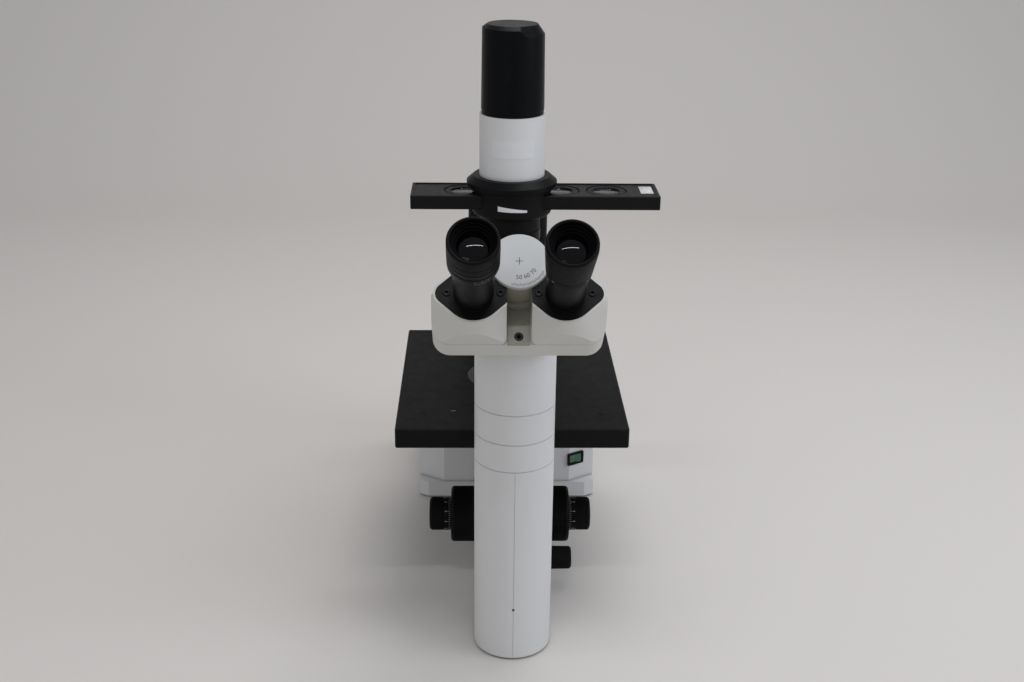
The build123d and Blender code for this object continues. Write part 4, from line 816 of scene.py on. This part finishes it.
def head_details():
    """The flange screws, the dial's scale and the middle strip's screw."""
    screw_level = plate_level + plate_rise - plate_screw_sink
    for side, body in ((-1, "wing_left"), (1, "wing_right")):
        for ear in (-1, 1):
            where = head_place(side * eye_x + ear * ear_offset, -eye_drop, screw_level)
            word = f"{'left' if side < 0 else 'right'}_{'outer' if ear == side else 'inner'}"
            socket_screw(f"flange_screw_{word}", where, 2.75, 2.3, screw_black, body)
    # The wings sweep over this screw, so its head is nearly flush
    strip_place = head_place(0, strip_screw_v, strip_level)
    low_head = [
        (strip_screw_radius, 0),
        (strip_screw_radius, 0.12),
        (strip_screw_radius - 0.25, strip_screw_height),
        (0, strip_screw_height),
    ]
    lathe("strip_screw", strip_place, low_head, dark_metal, "stand", steps=48, edge=0.0)
    # The screw's socket is a flat black hexagon laid on its head: painted shade standing for the hollow
    socket_shade_top = strip_screw_height + 0.04
    socket_shade = [(strip_screw_socket_shade, 0), (strip_screw_socket_shade, socket_shade_top), (0, socket_shade_top)]
    lathe("strip_screw_socket_shade", strip_place, socket_shade, cup_black, "stand", steps=6, edge=0.0)

    dial = head_place(0, 0, dial_level)
    strokes = []
    for number in range(27):
        turn = math.radians(-26 - number * 3.1)
        reach = dial_radius - (3.4 if number % 4 == 0 else 2.8)
        strokes.append(dial @ Matrix.Rotation(turn, 4, "Z") @ Matrix.Translation((reach, 0, 0)))
    marks("dial_scale", strokes, (2.0, 0.35, 0.03), black_print, "stand")
    for text, angle in (("70", -40), ("60", -66), ("50", -92)):
        writing = dial @ Matrix.Rotation(math.radians(angle), 4, "Z")
        writing = writing @ Matrix.Translation((dial_number_reach, 0, 0)) @ quarter_turn
        digits(f"dial_number_{text}", text, writing, 3.6, black_print, "stand")
    marks("dial_centre", [dial, dial @ quarter_turn], (6.0, 0.5, 0.03), black_print, "stand")


head_details()


# Lamp


def lamp_cap():
    """The black cap: a shadow groove at its foot and a bevelled top, steeper to the right."""
    steep_from = math.radians(-79)
    steep_to = math.radians(95)
    turn_width = math.radians(12)
    small_drop, steep_drop = 3.2, 8.6
    small_inset, steep_inset = 4.6, 6.2

    def steepness(angle):
        angle = (angle + math.pi) % (2 * math.pi) - math.pi
        rise = min(1.0, max(0.0, (angle - steep_from) / turn_width))
        fall = min(1.0, max(0.0, (steep_to - angle) / turn_width))
        return min(rise, fall)

    def shape(radius, height, angle):
        if height > cap_top - cap_bevel:
            share = steepness(angle)
            edge_share = (height - (cap_top - cap_bevel)) / cap_bevel
            drop = small_drop + (steep_drop - small_drop) * share
            inset = small_inset + (steep_inset - small_inset) * share
            inner = cap_radius_top - inset
            if radius > inner and edge_share < 0.99:
                return cap_radius_top - inset * edge_share, cap_top - drop * (1 - edge_share)
            if radius > cap_radius_top - 6.5:
                return inner, cap_top
        return radius, height

    profile = [
        (0, cap_low),
        (cap_neck, cap_low),
        (cap_neck, cap_skirt),
        (cap_radius - 0.5, cap_skirt),
        (cap_radius, cap_skirt + 0.6),
        (cap_radius_top, cap_top - cap_bevel - 0.1),
        (cap_radius_top, cap_top - cap_bevel + 0.1),
        (cap_radius_top, cap_top - 9.0),
        (cap_radius_top - 3.0, cap_top - 4.75),
        (cap_radius_top - 5.6, cap_top - 0.5),
        (cap_radius_top - 6.0, cap_top),
        (20.0, cap_top),
        (0, cap_top),
    ]
    piece = lathe("cap_shell", place_at((0, 0, 0), (1, 0, 0), (0, 0, 1)), profile, black_plastic,
                  "stand", steps=180, edge=0.0, shape=shape)
    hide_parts("lamp_cap")


def curved_label(name, radius, low, high, from_angle, to_angle, material, body):
    """A blank label on an upright cylinder; each edge's height runs from one end to the other."""
    steps = 16
    vertices = []
    for reach in (radius, radius + 0.12):
        for start, end in (low, high):
            for step in range(steps + 1):
                share = step / steps
                angle = math.radians(from_angle + (to_angle - from_angle) * share)
                height = start + (end - start) * share
                vertices.append((reach * math.cos(angle), reach * math.sin(angle), height))
    row = steps + 1
    faces = []
    for step in range(steps):
        low_in, high_in, low_out, high_out = (step + row * number for number in range(4))
        faces.append((low_out, low_out + 1, high_out + 1, high_out))
        faces.append((low_in, high_in, high_in + 1, low_in + 1))
        faces.append((low_in, low_in + 1, low_out + 1, low_out))
        faces.append((high_in, high_out, high_out + 1, high_in + 1))
    for step in (0, steps):
        faces.append((step, step + row, step + 3 * row, step + 2 * row))
    return mesh_piece(name, vertices, faces, place_at((0, 0, 0), (1, 0, 0), (0, 0, 1)), material, body)


lamp_cap()
curved_label("lamp_label", lamp_radius, (403.5, 403.5), (420.5, 420.5), -129.5, -50.5, paper, "stand")
curved_label("holder_label", holder_radius, (356.0, 355.0), (360.9, 357.2), -111.0, -69.0, paper, "stand")


# Slider


def slider_details():
    """The slider's four phase rings with their panes, and a blank label at its end."""
    for number, x in enumerate(slider_cells):
        place = place_at((x, 0, 0), (1, 0, 0), (0, 0, 1))
        ring = [
            (cell_hole + 0.2, slider_floor - 2.5),
            (cell_radius - 0.9, slider_floor - 2.5),
            (cell_radius - 0.9, slider_floor - 0.5),
            (cell_radius - 1.6, slider_floor - 0.2),
            (cell_hole + 1.4, slider_floor - 0.2),
            (cell_hole + 0.2, slider_floor - 1.2),
        ]
        cell = lathe(f"phase_cell_{number}", place, ring, black_metal, "slider", edge=0.15, loop=True)
        if number == 0:
            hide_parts("phase_rings")
        disc = [
            (0, slider_floor - pane_low),
            (cell_hole + 0.1, slider_floor - pane_low),
            (cell_hole + 0.1, slider_floor - pane_high),
            (0, slider_floor - pane_high),
        ]
        pane = lathe(f"phase_pane_{number}", place, disc, clear_glass, "slider", edge=0.05)
    slab("slider_label", place_at((126.5, 2.0, slider_floor), (1, 0, 0), (0, 0, 1)),
         (12.0, 25.0, 0.15), worn_paper, "slider", edge=0.05)


slider_details()


# Stage


def stage_details():
    """Threads in the stage's two holes, and a small scratch."""
    for side in (-1, 1):
        place = place_at((side * stage_hole[0], stage_hole[1], stage_top), (1, 0, 0), (0, 0, 1))
        thread = []
        for turn in range(thread_turns):
            depth = thread_start - thread_pitch * turn
            thread += [(thread_root, depth), (thread_crest, depth - thread_pitch / 2)]
        thread += [(thread_root + 0.05, -8.0), (thread_root + 0.05, thread_start)]
        lathe(f"stage_thread_{side + 1}", place, thread, dark_metal, "stand", steps=36, edge=0.0, loop=True)
    scratch = place_at((-54, -87, stage_top), (1, 0.25, 0), (0, 0, 1))
    marks("stage_scratch", [scratch], (4.6, 0.8, 0.02), grey_print_and_highlight, "stand")


stage_details()


# Nosepiece


def objectives():
    """Four objectives with a knurled grip, a coloured ring and a tapered nose."""
    turret = Vector(joints["turret_turn"]["axis"]).normalized()
    apex = joint_point("turret_turn")
    tilt = math.atan2(-turret.y, turret.z)
    slope = turret.cross(Vector((1, 0, 0)))
    lengths = (36.0, 38.5, 37.5, 30.0)
    tips = (6.0, 7.5, 7.0, 9.0)
    bands = (("red_band", (0.45, 0.02, 0.02)), ("yellow_band", (0.62, 0.42, 0.02)),
             ("green_band", (0.03, 0.25, 0.07)), ("blue_band", (0.03, 0.16, 0.42)))
    for number in range(4):
        turn = math.radians(90 + 90 * number)
        out = Vector((1, 0, 0)) * math.cos(turn) + slope * math.sin(turn)
        along = turret * math.cos(tilt) + out * math.sin(tilt)
        place = place_at(apex + along * seat_reach, turret.cross(out), along)
        length = lengths[number]
        tip = tips[number]
        nose = length * 0.62
        barrel = [
            (objective_bore, -4.5),
            (screw_thread, -4.5),
            (screw_thread, 0),
            (barrel_radius, 0),
            (barrel_radius, nose * 0.08),
            (barrel_radius, nose * 0.10),
            (barrel_radius, nose * 0.38),
            (barrel_radius, nose * 0.40),
            (barrel_radius, nose * 0.45),
            (band_radius, nose * 0.48),
            (band_radius, nose * 0.58),
            (barrel_radius, nose * 0.61),
            (barrel_radius, nose),
            (tip + 0.8, length - 4.0),
            (tip, length - 3.2),
            (tip, length),
            (objective_bore, length),
        ]
        knurl = ribbed(60, 0.3, nose * 0.09, nose * 0.39, barrel_radius - 0.3)
        piece = lathe(f"objective_{number}", place, barrel, bright_metal, "turret", steps=300,
                      edge=0.3, loop=True, shape=knurl)
        if number == 0:
            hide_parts("objectives")
        band_name, band_colour = bands[number]
        band = finish(band_name, band_colour, 0.35, mottle=0.05)
        band_low, band_high = nose * 0.49, nose * 0.57
        ring = [
            (band_radius - 0.2, band_low),
            (band_radius + 0.15, band_low),
            (band_radius + 0.15, band_high),
            (band_radius - 0.2, band_high),
        ]
        lathe(f"objective_band_{number}", place, ring, band, "turret", edge=0.05, loop=True)
        lens = [
            (0, length - 1.6),
            (objective_bore, length - 1.6),
            (objective_bore, length - 0.9),
            (0, length - 0.5),
        ]
        front = lathe(f"objective_lens_{number}", place, lens, clear_glass, "turret", steps=48, edge=0.1)


objectives()


# Floor, light and camera


def plain(name, colour, roughness):
    """A plain matt colour for the floor and backdrop."""
    material = bpy.data.materials.new(name)
    tree_nodes, links, shader = node_links(material)
    shader.inputs["Base Color"].default_value = (*colour, 1)
    shader.inputs["Roughness"].default_value = roughness
    return material


def sweep():
    """A pale floor that curves up into a backdrop behind the object."""
    front, back, bend, top, half = -3.5, 1.9, 0.7, 3.2, 4.5
    outline = [(front, 0.0), (back - bend, 0.0)]
    for step in range(1, 25):
        angle = math.pi / 2 * step / 24
        outline.append((back - bend + bend * math.sin(angle), bend - bend * math.cos(angle)))
    outline.append((back, top))
    vertices = []
    for y, z in outline:
        vertices += [(-half, y, z), (half, y, z)]
    faces = [(2 * i, 2 * i + 1, 2 * i + 3, 2 * i + 2) for i in range(len(outline) - 1)]
    mesh = bpy.data.meshes.new("sweep")
    mesh.from_pydata(vertices, [], faces)
    mesh.shade_smooth()
    mesh.materials.append(plain("sweep_paper", (0.60, 0.575, 0.555), 0.85))
    floor = bpy.data.objects.new("sweep", mesh)
    bpy.context.scene.collection.objects.link(floor)


def area_light(name, place, target, size, power, colour=(1, 1, 1)):
    """A rectangular soft light that faces a point; places are in metres."""
    data = bpy.data.lights.new(name, "AREA")
    data.shape = "RECTANGLE"
    data.size, data.size_y = size
    data.energy = power
    data.color = colour
    lamp = bpy.data.objects.new(name, data)
    lamp.location = place
    lamp.rotation_euler = (Vector(target) - Vector(place)).to_track_quat("-Z", "Y").to_euler()
    bpy.context.scene.collection.objects.link(lamp)


def lights():
    """Soft light from above and the right, weak fill from the left, and an even surround."""
    world = bpy.data.worlds.new("surround")
    world.use_nodes = True
    world.node_tree.nodes["Background"].inputs["Color"].default_value = (0.95, 0.97, 1.0, 1)
    world.node_tree.nodes["Background"].inputs["Strength"].default_value = 0.42
    bpy.context.scene.world = world
    area_light("over", (0.35, 0.45, 1.9), (0, -0.05, 0.2), (1.4, 0.9), 15.0)
    area_light("right", (1.65, -0.75, 1.1), (0, 0, 0.25), (0.9, 1.1), 11.0, (0.88, 0.93, 1.0))
    area_light("front", (-0.9, -1.8, 1.3), (0, 0, 0.2), (1.0, 0.8), 4.0, (1.0, 0.98, 0.95))
    area_light("tube", (0.05, -0.85, 2.1), (0, -0.2, 0.3), (1.2, 0.035), 7.0)


def camera():
    """The photograph's camera, from its place, turns and focal length in pixels."""
    data = bpy.data.cameras.new("camera")
    data.sensor_fit = "HORIZONTAL"
    data.sensor_width = 36.0
    data.lens = focal_pixels * data.sensor_width / frame_pixels
    data.clip_start = 0.05
    data.clip_end = 50
    pitch, yaw, roll = (math.radians(angle) for angle in (camera_pitch, camera_yaw, camera_roll))
    forward = Vector((math.sin(yaw) * math.cos(pitch), math.cos(yaw) * math.cos(pitch), -math.sin(pitch)))
    level = Vector((math.cos(yaw), -math.sin(yaw), 0))
    upright = level.cross(forward)
    right = level * math.cos(roll) + upright * math.sin(roll)
    up = upright * math.cos(roll) - level * math.sin(roll)
    matrix = Matrix((right, up, -forward)).transposed().to_4x4()
    matrix.translation = spot(*camera_spot)
    viewer = bpy.data.objects.new("camera", data)
    viewer.matrix_world = matrix
    bpy.context.scene.collection.objects.link(viewer)
    bpy.context.scene.camera = viewer


sweep()
lights()
camera()
bpy.context.scene.view_settings.view_transform = "Standard"
